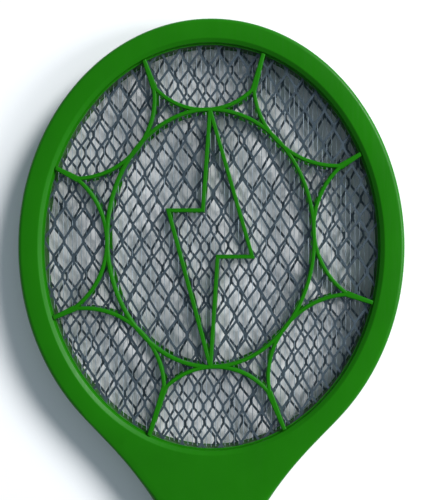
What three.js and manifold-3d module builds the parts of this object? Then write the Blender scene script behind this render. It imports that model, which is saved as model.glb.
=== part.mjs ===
// Electric fly swatter: an oval racket head with three electrodes behind moulded guards, and a hollow
// handle that holds the cells, the board and the controls.
// Millimetres. +X across the racket, +Y from the butt to the head, +Z out of the front face. The racket
// lies on its flat back at Z = 0, with the origin under the middle of its length and width.

import * as THREE from "three";
import { mergeVertices } from "three/addons/utils/BufferGeometryUtils.js";
import Module from "manifold-3d";

const wasm = await Module();
wasm.setup();

// ---- driving dimensions ----

const overallLength = 480;
const headWidth = 206;
const headLength = 243;
const headThickness = 18;
const rimWidth = 13.3; // from the outer edge to the opening
const rimCorner = 2.4; // rounded outer edge of the rim
const lipWidth = 3; // sloped inner edge of the rim, in plan
const lipDrop = 2.7; // and in depth
const wall = 2; // moulded wall
const partingGap = 0.3; // between the two frames
const fitGap = 0.3; // beside a piece that sits in another
const layerGap = 0.1; // between the stacked layers in the head

const gripWidth = 36;
const gripThickness = 30;
const buttFlare = 1.5; // the butt is wider than the waist by this on each side
const buttFlareLength = 70;
const buttRound = 10; // rounding of the butt's end, along Y
const buttFlat = 0.72; // share of the section left at the butt's flat end
const neckLength = 58.5; // from the head's lowest point to the grip
const neckJoinAngle = 46.8; // degrees below the head's middle where the neck leaves the rim
const neckEase = 25; // how far the neck keeps the rim's direction
const gripEase = 44; // and the grip's
const rampLength = 63; // the front face drops from grip to head over this
const rampToHead = 18.5; // the ramp ends this far below the head
const bellyCut = 0.6; // the section is cut flat by this much at the back
const gripPower = 2.6; // superellipse exponent of the grip's section
const neckPower = 7; // and of the neck's where it meets the rim

const meshThickness = 0.5;
const spacerThickness = 4;
const gridThickness = 0.5;
const layerRimWidth = 4.4; // how far the stacked layers reach in under the rim
const hoopShow = 0.6; // the guard's hoop shows this much inside the rim
const diamondWidth = 21;
const diamondLength = 38;
const strandWidth = 1.15;
const meshBorder = 1.6;
const frontMeshTurn = -2.6; // degrees, seen from the front
const rearMeshTurn = 4.7;
const gridWire = 0.5;
const gridPitch = 10;
const gridBand = 3;
const tabWidth = 7;
const tabLength = 8;
const tabSpacing = 12;
const tabRise = 1.2; // a tab overlaps its sheet by this much

const ribWidth = 2.1;
const ribSink = 0.7; // rib tops lie this far below the face
const ringWidth = 110.5;
const ringLength = 137;
const ringRise = 4.6; // ring centre above the opening's centre
const scallopFeet = [27, 71.5, 113, 157, 200.5, 248.5, 296, 344]; // degrees round the opening
const scallopTouches = [45, 94, 140, 180, 224, 272, 320, 366]; // and round the ring, each after its foot
const stemLengths = [12, 19, 15, 12.5, 11.5, 26, 20.5, 14]; // from each foot to where two scallops part
const stemWidth = 3.4; // where they part
const boltReach = 22.4; // the bolt's side corners from its axis
const boltWaist = 3.9; // the bolt's inner corners from its axis
const boltStep = 12.4; // side corners above and below the bolt's middle
const boltRise = 2.5; // bolt's middle above the ring's centre

const cellDiameter = 14.2;
const cellLength = 49.5;
const cellNubLength = 1;
const cellNubDiameter = 5.4;
const cellGap = 1; // between the two cells
const cellSpringLength = 5;
const contactThickness = 0.5;
const contactWidth = 10;
const contactHeight = 11;
const cellDrop = 0.8; // the cells' middle lies this far behind the grip's
const saddleInset = 12; // the saddles stand this far in from the cells' ends

const coverPastWall = 1.4; // the cover ends this far past the bulkhead
const coverTongue = 4; // how far the cover's tongue reaches under the rear frame
const tongueWidth = 14;
const tongueThickness = 1.4;
const tongueRoot = 8;

const boardWidth = 24;
const boardThickness = 1.6;
const boardDrop = 4; // the board's back lies this far behind the grip's middle
const boardToGripTop = 3.4; // and it ends this far below the grip's top
const restInset = 12; // the board's rests stand this far in from its ends

const screwShankRadius = 1.2;
const screwHeadRadius = 2.1;
const screwHeadHeight = 1.6;
const screwLength = 12; // from the back of the head
const neckScrewToTab = 14; // beside the outer tabs
const neckScrewRise = 2; // above the head's lowest point
const pilotGap = 0.15;
const screwReach = screwHeadHeight + screwLength;
const bossRadius = 2.9;
const bossFoot = 0.5; // the rear bosses are wider by this, round the screws' heads
const postRadius = 3.4;
const postFoot = 0.6; // and the rear posts by this
const postGap = 2; // beside the rear post, at the cover's tongue
const boardGap = 1.5; // between the rear post and the board
const neckPostGap = 3; // between the board and the neck's post
const headScrewSink = 1.4; // screw head below the back face, in the head
const postScrewToMid = 9.4; // and in the handle, from the grip's middle to the back of the screw's head

const buttonRadius = 6.2;
const buttonProud = 1.5;
const buttonTravel = 2.2;
const buttonFlange = 1.3; // thickness of the flange that keeps the button in
const buttonFlangeDrop = 1; // the grip narrows there, so the flange stays this far behind its wall
const buttonLip = 1.3; // and how far it stands out
const buttonToKnob = 24;
const buttonStemRadius = 2.2;
const buttonSpringRadius = 3.5;
const springWire = 0.7;
const knobWidth = 4.6;
const knobLength = 6.5;
const knobTravel = 4;
const knobProud = 1.6;
const knobToWindow = 18;
const knobPlate = 1.2; // thickness of the plate that covers the slot
const knobPlateDrop = 0.7; // behind the wall
const knobPlateSpare = 3; // how much longer it is than the slot needs
const knobGroovePitch = 1.7;
const knobGroove = 0.8;
const knobGrooveDepth = 0.5;
const sliderWidth = 3;
const sliderLength = 3.6;
const sliderSink = 1.2; // how far the slider reaches into the switch
const sliderGap = 0.4;
const switchWidth = 6.4;
const switchLength = 12;
const switchHeight = 5;
const zapSwitchWidth = 8.8;
const plungerRadius = 1.8;
const plungerHeight = 1.3;
const windowRadius = 2.3;
const windowLip = 1;
const windowShelf = 1; // thickness of the shelf that keeps the window in
const windowShelfDrop = 0.4; // behind the wall
const windowDome = 0.7;
const windowSink = 0.1; // the dome starts this far below the face
const windowToRamp = 1.5;

// Places of the parts on the board, along Y from the control that each sits beside.
const transformerToButton = 13.5;
const resistorToButton = 8.5;
const resistorSpacing = 4.5;
const diodeToWindow = 5.5;
const capacitorToWindow = 13;
const transistorX = 8;

const cellShoulder = 0.9; // rolled edge of the cell's top
const cellFootChamfer = 0.8;
const cellFootRise = 0.5;
const cellShoulderRise = 0.6;
const screwHeadChamfer = 0.3;
const screwHeadChamferRise = 0.4;
const screwTip = 1.1; // height of the shank's tapered tip
const screwTipGap = 0.4; // the tip ends short of the screw's full length
const rimChamfer = 0.3; // share of the rim's corner in the faceted round
const ribShare = 0.8; // thickness of inner ribs as a share of the wall
const axialLead = 0.35; // half the width of a resistor's or diode's wire
const axialLeadReach = 2;
const axialLift = 0.4; // gap between the board and an axial part's body
const legHalf = 0.25; // half the width of a transistor's or lamp's leg
const transistorPitch = 1.27;
const transistorRadius = 2.4;
const transistorBody = [2.5, 7.1];
const transistorFlat = 1.2; // distance of the flat face from the middle
const lampLegX = 0.8;
const lampRadius = 1.5;
const lampHeight = 4.7;
const lampFlange = 0.4;
const lampFlangeHeight = 1;
const lampStraight = 3.2; // height of the lamp's straight side
const lampTipRadius = 0.9;
const lampTipDrop = 0.3;
const lampToWindow = 1.3;
const leadRadius = 0.65;
const leadHoleRise = 6.5; // the holes in the bulkhead lie this far in front of the grip's middle

const rimSteps = 44;
const ringSteps = 32;
const scallopSteps = 7;
const borderSteps = 20;
const bossSides = 10;
const holeSides = 8;

// ---- places that follow from them ----

const buttY = -overallLength / 2;
const headY = overallLength / 2 - headLength / 2;
const headBottomY = headY - headLength / 2;
const gripTopY = headBottomY - neckLength;
const rampTopY = headBottomY - rampToHead;
const rampBottomY = rampTopY - rampLength;
const headMidZ = headThickness / 2;
const gripMidZ = gripThickness / 2;
const screwLine = (wall + rimWidth - layerRimWidth) / 2; // middle of the channel in the rim

// The stack in the head, from the middle plane outwards. The rear half mirrors the front half.
const spacerZ = headMidZ + gridThickness / 2 + layerGap;
const meshZ = spacerZ + spacerThickness + layerGap;
const hoopZ = meshZ + meshThickness + layerGap;
const hoopTopZ = headThickness - lipDrop - layerGap;
const layerInset = rimWidth - layerRimWidth;
const tabTopY = headBottomY + layerInset + tabRise;

const cellX = (cellDiameter + cellGap) / 2;
const cellsZ = gripMidZ - cellDrop;
const cellWallY = buttY + wall + fitGap;
const linkPlateY = cellWallY + wall + layerGap;
const cellsStartY = linkPlateY + contactThickness + layerGap;
const cellsEndY = cellsStartY + cellLength + cellNubLength + cellSpringLength + 2 * layerGap;
const bulkheadY = cellsEndY + contactThickness + 2 * layerGap;
const coverEndY = bulkheadY + wall + coverPastWall;
const rearPostY = coverEndY + coverTongue + postRadius + postGap;
const boardStartY = rearPostY + postRadius + boardGap;
const boardEndY = gripTopY - boardToGripTop;
const boardZ = gripMidZ - boardDrop;
const boardTopZ = boardZ + boardThickness;
const leadHoleZ = gripMidZ + leadHoleRise;
const postScrewSink = gripMidZ - postScrewToMid;
const tongueFloorZ = wall + fitGap;
const buttonTopZ = gripThickness + buttonProud;
const buttonFlangeTopZ = gripThickness - wall - buttonFlangeDrop;
const windowShelfZ = gripThickness - wall - windowShelfDrop;
const windowFootZ = windowShelfZ - windowShelf;
const neckPostY = boardEndY + postRadius + neckPostGap;
const windowY = rampBottomY - windowToRamp;
const knobY = windowY - knobToWindow;
const buttonY = knobY - buttonToKnob;

// ---- solids ----

// A closed three.js geometry as a manifold solid.
function solidFrom(geometry) {
  const bare = new THREE.BufferGeometry();
  bare.setAttribute("position", geometry.getAttribute("position"));
  bare.setIndex(geometry.getIndex());
  const merged = mergeVertices(bare, 1e-4);
  const mesh = new wasm.Mesh({
    numProp: 3,
    vertProperties: merged.getAttribute("position").array,
    triVerts: new Uint32Array(merged.getIndex().array),
  });
  return new wasm.Manifold(mesh);
}

function geometryFrom(solid) {
  const mesh = solid.getMesh();
  const geometry = new THREE.BufferGeometry();
  geometry.setAttribute("position", new THREE.BufferAttribute(new Float32Array(mesh.vertProperties), 3));
  geometry.setIndex(new THREE.BufferAttribute(new Uint32Array(mesh.triVerts), 1));
  const faceted = geometry.toNonIndexed();
  faceted.computeVertexNormals();
  return faceted;
}

const joined = (solids) => solids.reduce((whole, next) => whole.add(next));

function block(x0, x1, y0, y1, z0, z1) {
  const geometry = new THREE.BoxGeometry(x1 - x0, y1 - y0, z1 - z0);
  return solidFrom(geometry.translate((x0 + x1) / 2, (y0 + y1) / 2, (z0 + z1) / 2));
}

// A round bar along Z.
function drum(x, y, z0, z1, radius, sides = 16) {
  const geometry = new THREE.CylinderGeometry(radius, radius, z1 - z0, sides).rotateX(Math.PI / 2);
  return solidFrom(geometry.translate(x, y, (z0 + z1) / 2));
}

// A round bar along Y.
function drumAlongY(x, z, y0, y1, radius, sides = 16) {
  const geometry = new THREE.CylinderGeometry(radius, radius, y1 - y0, sides);
  return solidFrom(geometry.translate(x, (y0 + y1) / 2, z));
}

// A flat outline in XY, thick from z0 to z1.
function plate(points, z0, z1, holes = []) {
  const shape = new THREE.Shape(points);
  for (const hole of holes) shape.holes.push(new THREE.Path(hole));
  const geometry = new THREE.ExtrudeGeometry(shape, { depth: z1 - z0, bevelEnabled: false });
  return solidFrom(geometry.translate(0, 0, z0));
}

// A profile of [radius, z] points turned about Z.
function turned(profile, sides = 16) {
  const points = profile.map(([radius, z]) => new THREE.Vector2(radius, z));
  return solidFrom(new THREE.LatheGeometry(points, sides).rotateX(Math.PI / 2));
}

// A round wire along a curve.
function wire(curve, radius, steps, sides = 8) {
  const section = new THREE.Shape(ovalPoints(0, 0, radius, radius, sides));
  return solidFrom(new THREE.ExtrudeGeometry(section, { extrudePath: curve, steps, bevelEnabled: false }));
}

function ovalPoints(x, y, halfWidth, halfLength, steps) {
  return Array.from({ length: steps }, (_, i) => {
    const angle = (2 * Math.PI * i) / steps;
    return new THREE.Vector2(x + halfWidth * Math.cos(angle), y + halfLength * Math.sin(angle));
  });
}

// The head's oval, moved in from the outer edge by inset.
const headOval = (inset) => ovalPoints(0, headY, headWidth / 2 - inset, headLength / 2 - inset, rimSteps);

const headDisc = (inset, z0, z1) => plate(headOval(inset), z0, z1);
const headHoop = (outerInset, innerInset, z0, z1) =>
  plate(headOval(outerInset), z0, z1, [headOval(innerInset)]);

// A closed profile of [inset, z] points carried round the head's oval.
function headSweep(profile) {
  const position = [];
  const index = [];
  const count = profile.length;
  for (let i = 0; i < rimSteps; i++) {
    const angle = (2 * Math.PI * i) / rimSteps;
    for (const [inset, z] of profile) {
      const x = (headWidth / 2 - inset) * Math.cos(angle);
      const y = headY + (headLength / 2 - inset) * Math.sin(angle);
      position.push(x, y, z);
    }
    for (let j = 0; j < count; j++) {
      const here = i * count + j;
      const beside = i * count + ((j + 1) % count);
      const ahead = ((i + 1) % rimSteps) * count + j;
      const opposite = ((i + 1) % rimSteps) * count + ((j + 1) % count);
      index.push(here, opposite, ahead, here, beside, opposite);
    }
  }
  const geometry = new THREE.BufferGeometry();
  geometry.setAttribute("position", new THREE.Float32BufferAttribute(position, 3));
  geometry.setIndex(index);
  return solidFrom(geometry);
}

// A solid seen in the mirror of the head's middle plane.
const mirrored = (solid) => solid.mirror([0, 0, 1]).translate([0, 0, headThickness]);

// ---- the handle's and the neck's form ----

const ease = (value) => {
  const t = THREE.MathUtils.clamp(value, 0, 1);
  return t * t * (3 - 2 * t);
};

const rampShare = (y) => ease((y - rampBottomY) / rampLength);
const midZ = (y) => THREE.MathUtils.lerp(gripMidZ, headMidZ, rampShare(y));

function neckOutline() {
  const angle = THREE.MathUtils.degToRad(neckJoinAngle);
  const start = new THREE.Vector2(
    (headWidth / 2) * Math.cos(angle),
    headY - (headLength / 2) * Math.sin(angle),
  );
  const along = new THREE.Vector2(
    -(headWidth / 2) * Math.sin(angle),
    -(headLength / 2) * Math.cos(angle),
  ).setLength(neckEase);
  const end = new THREE.Vector2(gripWidth / 2, gripTopY);
  const beforeEnd = new THREE.Vector2(gripWidth / 2, gripTopY + gripEase);
  return new THREE.CubicBezierCurve(start, start.clone().add(along), beforeEnd, end).getPoints(60);
}

const neckPoints = neckOutline();
const neckTopY = neckPoints[0].y;

// Half the width of the neck and the grip at a place along Y.
function halfWidthAt(y) {
  if (y <= gripTopY) {
    return gripWidth / 2 + buttFlare * ease(1 - (y - buttY) / buttFlareLength);
  }
  const next = neckPoints.findIndex((point) => point.y <= y);
  if (next <= 0) return neckPoints[0].x;
  const above = neckPoints[next - 1];
  const below = neckPoints[next];
  return THREE.MathUtils.mapLinear(y, below.y, above.y, below.x, above.x);
}

// One ring of points round the handle at y, moved in by inset. The butt's end is rounded.
function handleRing(y, inset, count) {
  const fromButt = THREE.MathUtils.clamp((y - buttY) / buttRound, 0, 1);
  const scale = buttFlat + (1 - buttFlat) * Math.sqrt(1 - (1 - fromButt) ** 2);
  const centre = midZ(y);
  const up = centre * scale - inset;
  const down = (centre + bellyCut) * scale - inset;
  const half = halfWidthAt(y) * scale - inset;
  const power = THREE.MathUtils.lerp(gripPower, neckPower, ease((y - gripTopY) / (headBottomY - gripTopY)));
  return Array.from({ length: count }, (_, i) => {
    const angle = (2 * Math.PI * (i + 0.5)) / count;
    const across = Math.sign(Math.cos(angle)) * Math.abs(Math.cos(angle)) ** (2 / power);
    const high = Math.sign(Math.sin(angle)) * Math.abs(Math.sin(angle)) ** (2 / power);
    return [half * across, y, centre + (high > 0 ? up : down) * high];
  });
}

function handleLoft(inset, stations, count) {
  const position = stations.flatMap((y) => handleRing(y, inset, count)).flat();
  const index = [];
  for (let i = 0; i + 1 < stations.length; i++) {
    for (let j = 0; j < count; j++) {
      const here = i * count + j;
      const beside = i * count + ((j + 1) % count);
      index.push(here, here + count, beside, beside, here + count, beside + count);
    }
  }
  const last = (stations.length - 1) * count;
  for (let j = 1; j + 1 < count; j++) {
    index.push(0, j, j + 1);
    index.push(last, last + j + 1, last + j);
  }
  const geometry = new THREE.BufferGeometry();
  geometry.setAttribute("position", new THREE.Float32BufferAttribute(position, 3));
  geometry.setIndex(index);
  return solidFrom(geometry);
}

const spread = (from, to, count) =>
  Array.from({ length: count }, (_, i) => THREE.MathUtils.lerp(from, to, i / count));

// Sections are close together where the form turns: at the butt, on the ramp and along the neck.
function handleStations(inset) {
  const start = buttY + inset;
  return [
    ...spread(start, buttY + buttRound, 3),
    ...spread(buttY + buttRound, rampBottomY, 4),
    ...spread(rampBottomY, gripTopY, 2),
    ...spread(gripTopY, neckTopY, 8),
    neckTopY,
  ];
}

const handleOuter = handleLoft(0, handleStations(0), 24);
const handleInner = handleLoft(wall, handleStations(wall), 16);
const handleCore = handleLoft(wall / 2, handleStations(wall / 2), 16);
const handleClear = handleLoft(wall + fitGap, handleStations(wall + fitGap), 16);

// Everything above (or below) the parting surface, which follows the middle of the side view.
function halfSpace(above) {
  const reach = overallLength;
  const offset = (above ? partingGap : -partingGap) / 2;
  const far = above ? reach : -reach;
  const line = [-reach, ...spread(rampBottomY, rampTopY, 8), rampTopY, reach].map(
    (y) => new THREE.Vector2(y, midZ(y) + offset),
  );
  const shape = new THREE.Shape([...line, new THREE.Vector2(reach, far), new THREE.Vector2(-reach, far)]);
  const geometry = new THREE.ExtrudeGeometry(shape, { depth: 2 * reach, bevelEnabled: false });
  const turn = new THREE.Matrix4().makeBasis(
    new THREE.Vector3(0, 1, 0),
    new THREE.Vector3(0, 0, 1),
    new THREE.Vector3(1, 0, 0),
  );
  return solidFrom(geometry.translate(0, 0, -reach).applyMatrix4(turn));
}

const frontHalf = halfSpace(true);
const rearHalf = halfSpace(false);

// ---- the two frames ----

function frameShell() {
  const top = headThickness;
  const lipStart = rimWidth - lipWidth;
  const corner = rimCorner * rimChamfer;
  const outer = headSweep([
    [0, rimCorner],
    [corner, corner],
    [rimCorner, 0],
    [lipStart, 0],
    [rimWidth, lipDrop],
    [rimWidth, top - lipDrop],
    [lipStart, top],
    [rimCorner, top],
    [corner, top - corner],
    [0, top - rimCorner],
  ]);
  const channel = headSweep([
    [wall, wall],
    [layerInset - fitGap, wall],
    [layerInset - fitGap, lipDrop],
    [rimWidth + 1, lipDrop],
    [rimWidth + 1, top - lipDrop],
    [layerInset - fitGap, top - lipDrop],
    [layerInset - fitGap, top - wall],
    [wall, top - wall],
  ]);
  const reach = overallLength;
  const belly = block(-reach, reach, -reach, reach, 0, reach);
  const opening = headDisc(rimWidth, -reach, reach);
  const neckHollow = handleInner.subtract(headDisc(layerInset - fitGap, -reach, reach));
  const shell = outer.add(handleOuter).intersect(belly).subtract(opening);
  return shell.subtract(channel).subtract(neckHollow);
}

const shell = frameShell();

// Screws stand round the head in the rim's channel, beside the neck, and in posts in the handle.
const headScrewAngles = [-20, 35, 90, 145, 200];
const headScrewPlaces = headScrewAngles.map((degrees) => {
  const angle = THREE.MathUtils.degToRad(degrees);
  const x = (headWidth / 2 - screwLine) * Math.cos(angle);
  const y = headY + (headLength / 2 - screwLine) * Math.sin(angle);
  return [x, y];
});
const neckScrewX = tabSpacing + neckScrewToTab;
const neckScrewPlaces = [-1, 1].map((side) => [side * neckScrewX, headBottomY + neckScrewRise]);
const thinScrewPlaces = [...headScrewPlaces, ...neckScrewPlaces];
const postScrewPlaces = [
  [0, rearPostY],
  [0, neckPostY],
];

// Walls and rests inside the handle end in the middle of the moulded wall.
function inside(solid) {
  return solid.intersect(handleCore);
}

function frontFrame() {
  const pilot = screwShankRadius - pilotGap;
  const bosses = thinScrewPlaces.map(([x, y]) =>
    drum(x, y, headMidZ + partingGap / 2, headThickness - wall / 2, bossRadius, bossSides),
  );
  const posts = postScrewPlaces.map(([x, y]) =>
    drum(x, y, midZ(y) + partingGap, 2 * midZ(y) - wall / 2, postRadius, bossSides),
  );
  const saddles = [cellsStartY + saddleInset, cellsEndY - saddleInset].map((y) => cellSaddle(y));
  const wallFoot = cellsZ - cellDiameter / 2;
  const cellWall = block(-gripWidth, gripWidth, cellWallY, cellWallY + wall, wallFoot, gripThickness);
  const bulkhead = block(-gripWidth, gripWidth, bulkheadY, bulkheadY + wall, wallFoot, gripThickness);
  const reach = overallLength;
  let frame = shell.intersect(frontHalf);
  frame = joined([frame, ...bosses, ...posts, ...saddles, cellWallIn(cellWall), cellWallIn(bulkhead)]);
  const holes = [
    ...thinScrewPlaces.map(([x, y]) => drum(x, y, 0, headScrewSink + screwReach, pilot, holeSides)),
    ...postScrewPlaces.map(([x, y]) => drum(x, y, 0, postScrewSink + screwReach, pilot, holeSides)),
    ...[-cellX, cellX].map((x) =>
      drumAlongY(x, leadHoleZ, bulkheadY - wall, bulkheadY + 2 * wall, leadRadius + fitGap, holeSides),
    ),
    drum(0, buttonY, gripMidZ, reach, buttonRadius + fitGap, 24),
    drum(0, buttonY, gripMidZ, buttonFlangeTopZ + fitGap, buttonRadius + buttonLip + fitGap, 24),
    drum(0, windowY, gripMidZ, reach, windowRadius + fitGap, 16),
    drum(0, windowY, gripMidZ, windowShelfZ + fitGap / 2, windowRadius + windowLip + fitGap, 16),
    block(
      -knobWidth / 2 - fitGap,
      knobWidth / 2 + fitGap,
      knobY - knobLength / 2 - fitGap,
      knobY + knobLength / 2 + knobTravel + fitGap,
      gripMidZ,
      reach,
    ),
  ];
  return frame.subtract(joined(holes));
}

// Walls across the cell bay join the front frame and hang clear of the battery cover below it.
function cellWallIn(solid) {
  return inside(solid).intersect(frontHalf).add(solid.intersect(handleClear));
}

function cellSaddle(y) {
  const rib = block(-gripWidth, gripWidth, y, y + wall * ribShare, gripMidZ + 0.3, gripThickness);
  const radius = cellDiameter / 2 + fitGap;
  const cells = [-cellX, cellX].map((x) => drumAlongY(x, cellsZ, y - wall, y + 2 * wall, radius));
  return inside(rib).subtract(joined(cells));
}

// A clear hole for a screw's shank, and a wider one behind it that its head sinks into.
function screwHole(x, y, sink) {
  const shank = drum(x, y, -1, overallLength, screwShankRadius + pilotGap, holeSides);
  const head = drum(x, y, -1, sink + screwHeadHeight, screwHeadRadius + fitGap, bossSides);
  return shank.add(head);
}

function rearFrame() {
  const reach = overallLength;
  const bosses = thinScrewPlaces.map(([x, y]) =>
    drum(x, y, wall / 2, headMidZ - partingGap / 2, bossRadius + bossFoot, bossSides),
  );
  const posts = postScrewPlaces.map(([x, y]) =>
    drum(x, y, wall / 2, midZ(y) - partingGap, postRadius + postFoot, bossSides),
  );
  const boardRests = [boardStartY + restInset, boardEndY - restInset].map((y) =>
    inside(block(-gripWidth, gripWidth, y, y + wall * ribShare, 0, boardZ - layerGap)),
  );
  const solid = joined([shell.intersect(rearHalf), ...bosses, ...posts, ...boardRests]);
  const tongueHalf = tongueWidth / 2 + fitGap;
  const holes = [
    ...thinScrewPlaces.map(([x, y]) => screwHole(x, y, headScrewSink)),
    ...postScrewPlaces.map(([x, y]) => screwHole(x, y, postScrewSink)),
    block(-reach, reach, -reach, coverEndY + partingGap / 2, -reach, reach),
    block(-tongueHalf, tongueHalf, coverEndY, coverEndY + coverTongue + fitGap, wall, gripMidZ),
  ];
  return solid.subtract(joined(holes));
}

// The whole back of the handle over the cells slides off towards the butt.
function batteryCover() {
  const reach = overallLength;
  const cover = shell
    .intersect(rearHalf)
    .intersect(block(-reach, reach, -reach, coverEndY - partingGap / 2, -reach, reach));
  const half = tongueWidth / 2;
  const start = coverEndY - tongueRoot;
  const end = coverEndY + coverTongue;
  const tongue = block(-half, half, start, end, tongueFloorZ, tongueFloorZ + tongueThickness);
  const root = block(-half, half, start, coverEndY - fitGap * 4, wall / 2, tongueFloorZ + fitGap);
  return joined([cover, tongue, root]);
}

// ---- guards, electrodes and spacers ----

function bar(from, to, z0, z1) {
  const along = to.clone().sub(from).setLength(ribWidth / 2);
  const across = new THREE.Vector2(-along.y, along.x);
  const start = from.clone().sub(along);
  const end = to.clone().add(along);
  const corners = [
    start.clone().sub(across),
    end.clone().sub(across),
    end.clone().add(across),
    start.clone().add(across),
  ];
  return plate(corners, z0, z1);
}

// The rib that carries two scallops to the rim, wide where they part.
function stem(inner, outer, z0, z1) {
  const along = outer.clone().sub(inner).normalize();
  const across = new THREE.Vector2(-along.y, along.x);
  const beside = (point, width) => point.clone().addScaledVector(across, width / 2);
  const corners = [
    beside(inner, -stemWidth),
    beside(outer, -ribWidth),
    beside(outer, ribWidth),
    beside(inner, stemWidth),
  ];
  return plate(corners, z0, z1);
}

// A rib along the circle that passes through three points.
function arcRib(first, middle, last, z0, z1) {
  const centre = circleCentre(first, middle, last);
  const radius = centre.distanceTo(middle);
  const angleOf = (point) => point.clone().sub(centre).angle();
  const mid = angleOf(middle);
  const turnTo = (point) => {
    const turn = angleOf(point) - mid;
    return Math.atan2(Math.sin(turn), Math.cos(turn));
  };
  const from = mid + turnTo(first);
  const to = mid + turnTo(last);
  const points = (offset) =>
    Array.from({ length: scallopSteps + 1 }, (_, i) => {
      const angle = THREE.MathUtils.lerp(from, to, i / scallopSteps);
      const reach = radius + offset;
      return new THREE.Vector2(centre.x + reach * Math.cos(angle), centre.y + reach * Math.sin(angle));
    });
  return plate([...points(ribWidth / 2), ...points(-ribWidth / 2).reverse()], z0, z1);
}

function circleCentre(a, b, c) {
  const ab = b.clone().sub(a);
  const ac = c.clone().sub(a);
  const twice = 2 * ab.cross(ac);
  const x = (ac.y * ab.lengthSq() - ab.y * ac.lengthSq()) / twice;
  const y = (ab.x * ac.lengthSq() - ac.x * ab.lengthSq()) / twice;
  return new THREE.Vector2(a.x + x, a.y + y);
}

function frontGuard() {
  const z0 = hoopZ;
  const z1 = headThickness - ribSink;
  const ringY = headY + ringRise;
  const ringAt = (angle) =>
    new THREE.Vector2((ringWidth / 2) * Math.cos(angle), ringY + (ringLength / 2) * Math.sin(angle));
  const headMiddle = new THREE.Vector2(0, headY);
  const footAt = (angle) =>
    new THREE.Vector2(
      (headWidth / 2 - rimWidth) * Math.cos(angle),
      headY + (headLength / 2 - rimWidth) * Math.sin(angle),
    );
  const ring = plate(
    ovalPoints(0, ringY, (ringWidth + ribWidth) / 2, (ringLength + ribWidth) / 2, ringSteps),
    z0,
    z1,
    [ovalPoints(0, ringY, (ringWidth - ribWidth) / 2, (ringLength - ribWidth) / 2, ringSteps)],
  );
  const radians = THREE.MathUtils.degToRad;
  const feet = scallopFeet.map((degrees) => footAt(radians(degrees)));
  const inwards = feet.map((foot) => headMiddle.clone().sub(foot).normalize());
  const partings = feet.map((foot, i) => foot.clone().addScaledVector(inwards[i], stemLengths[i]));
  const scallops = partings.map((parting, i) => {
    const next = partings[(i + 1) % partings.length];
    return arcRib(parting, ringAt(radians(scallopTouches[i])), next, z0, z1);
  });
  const stems = feet.map((foot, i) => {
    const inner = partings[i].clone().addScaledVector(inwards[i], stemWidth / 3);
    return stem(inner, foot.clone().addScaledVector(inwards[i], -fitGap), z0, z1);
  });
  const boltY = ringY + boltRise;
  const bolt = [
    new THREE.Vector2(0, ringY + ringLength / 2),
    new THREE.Vector2(-boltWaist, boltY + boltStep),
    new THREE.Vector2(-boltReach, boltY + boltStep),
    new THREE.Vector2(0, ringY - ringLength / 2),
    new THREE.Vector2(boltWaist, boltY - boltStep),
    new THREE.Vector2(boltReach, boltY - boltStep),
  ];
  const bars = bolt.map((corner, i) => bar(corner, bolt[(i + 1) % bolt.length], z0, z1));
  const ribs = joined([ring, ...scallops, ...stems, ...bars]).intersect(headDisc(rimWidth + fitGap, z0, z1));
  return ribs.add(headHoop(layerInset, rimWidth + hoopShow, hoopZ, hoopTopZ));
}

// An expanded-metal sheet: rows of diamonds, each row half a diamond along from the next.
function electrodeMesh(turn, tabX) {
  const fullSide = Math.hypot(diamondWidth, diamondLength) / 2;
  const fullGap = (diamondWidth * diamondLength) / 2 / fullSide;
  const share = 1 - strandWidth / fullGap;
  const corners = ovalPoints(0, 0, (diamondWidth / 2) * share, (diamondLength / 2) * share, 4);
  const border = layerInset + meshBorder;
  const reachX = headWidth / 2 - border;
  const reachY = headLength / 2 - border;
  const rows = Math.ceil(headLength / diamondLength);
  const columns = Math.ceil(headWidth / diamondWidth);
  const centre = new THREE.Vector2(0, headY);
  const angle = THREE.MathUtils.degToRad(turn);
  const holes = [];
  for (let row = -rows; row <= rows; row++) {
    for (let column = -columns; column <= columns; column++) {
      const x = (column + (row % 2 ? 0.5 : 0)) * diamondWidth;
      const y = (row * diamondLength) / 2;
      const place = new THREE.Vector2(x, y).rotateAround(new THREE.Vector2(), angle);
      const across = place.x / (reachX + diamondWidth / 5);
      const along = place.y / (reachY + diamondLength / 5);
      if (across ** 2 + along ** 2 > 1) continue;
      const diamond = corners.map((corner) =>
        corner.clone().rotateAround(new THREE.Vector2(), angle).add(place).add(centre),
      );
      holes.push(plate(diamond, 0, meshThickness));
    }
  }
  const field = plate(ovalPoints(0, headY, reachX, reachY, borderSteps), 0, meshThickness);
  const sheet = headDisc(layerInset, 0, meshThickness).subtract(joined(holes).intersect(field));
  return sheet.add(tab(tabX, meshThickness));
}

// A solder tab that reaches down into the neck.
function tab(x, thickness) {
  return block(x - tabWidth / 2, x + tabWidth / 2, tabTopY - tabLength, tabTopY, 0, thickness);
}

// The live electrode: parallel wires inside a flat band.
function middleGrid() {
  const outerInset = layerInset + fitGap;
  const count = Math.floor(headWidth / gridPitch);
  const slots = Array.from({ length: count }, (_, i) => {
    const x = (i - (count - 1) / 2) * gridPitch;
    const half = (gridPitch - gridWire) / 2;
    return block(x - half, x + half, headBottomY, headY + headLength / 2, 0, gridThickness);
  });
  const field = headDisc(outerInset + gridBand, 0, gridThickness);
  const sheet = headDisc(outerInset, 0, gridThickness).subtract(joined(slots).intersect(field));
  return sheet.add(tab(0, gridThickness));
}

const spacer = () => headHoop(layerInset, rimWidth + hoopShow / 2, 0, spacerThickness);

// ---- handle contents ----

function cell() {
  const r = cellDiameter / 2;
  const can = turned(
    [
      [0, 0],
      [r - cellFootChamfer, 0],
      [r, cellFootRise],
      [r, cellLength - cellShoulderRise],
      [r - cellShoulder, cellLength],
      [cellNubDiameter / 2, cellLength],
      [cellNubDiameter / 2, cellLength + cellNubLength],
      [0, cellLength + cellNubLength],
    ],
    20,
  );
  return can;
}

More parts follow.
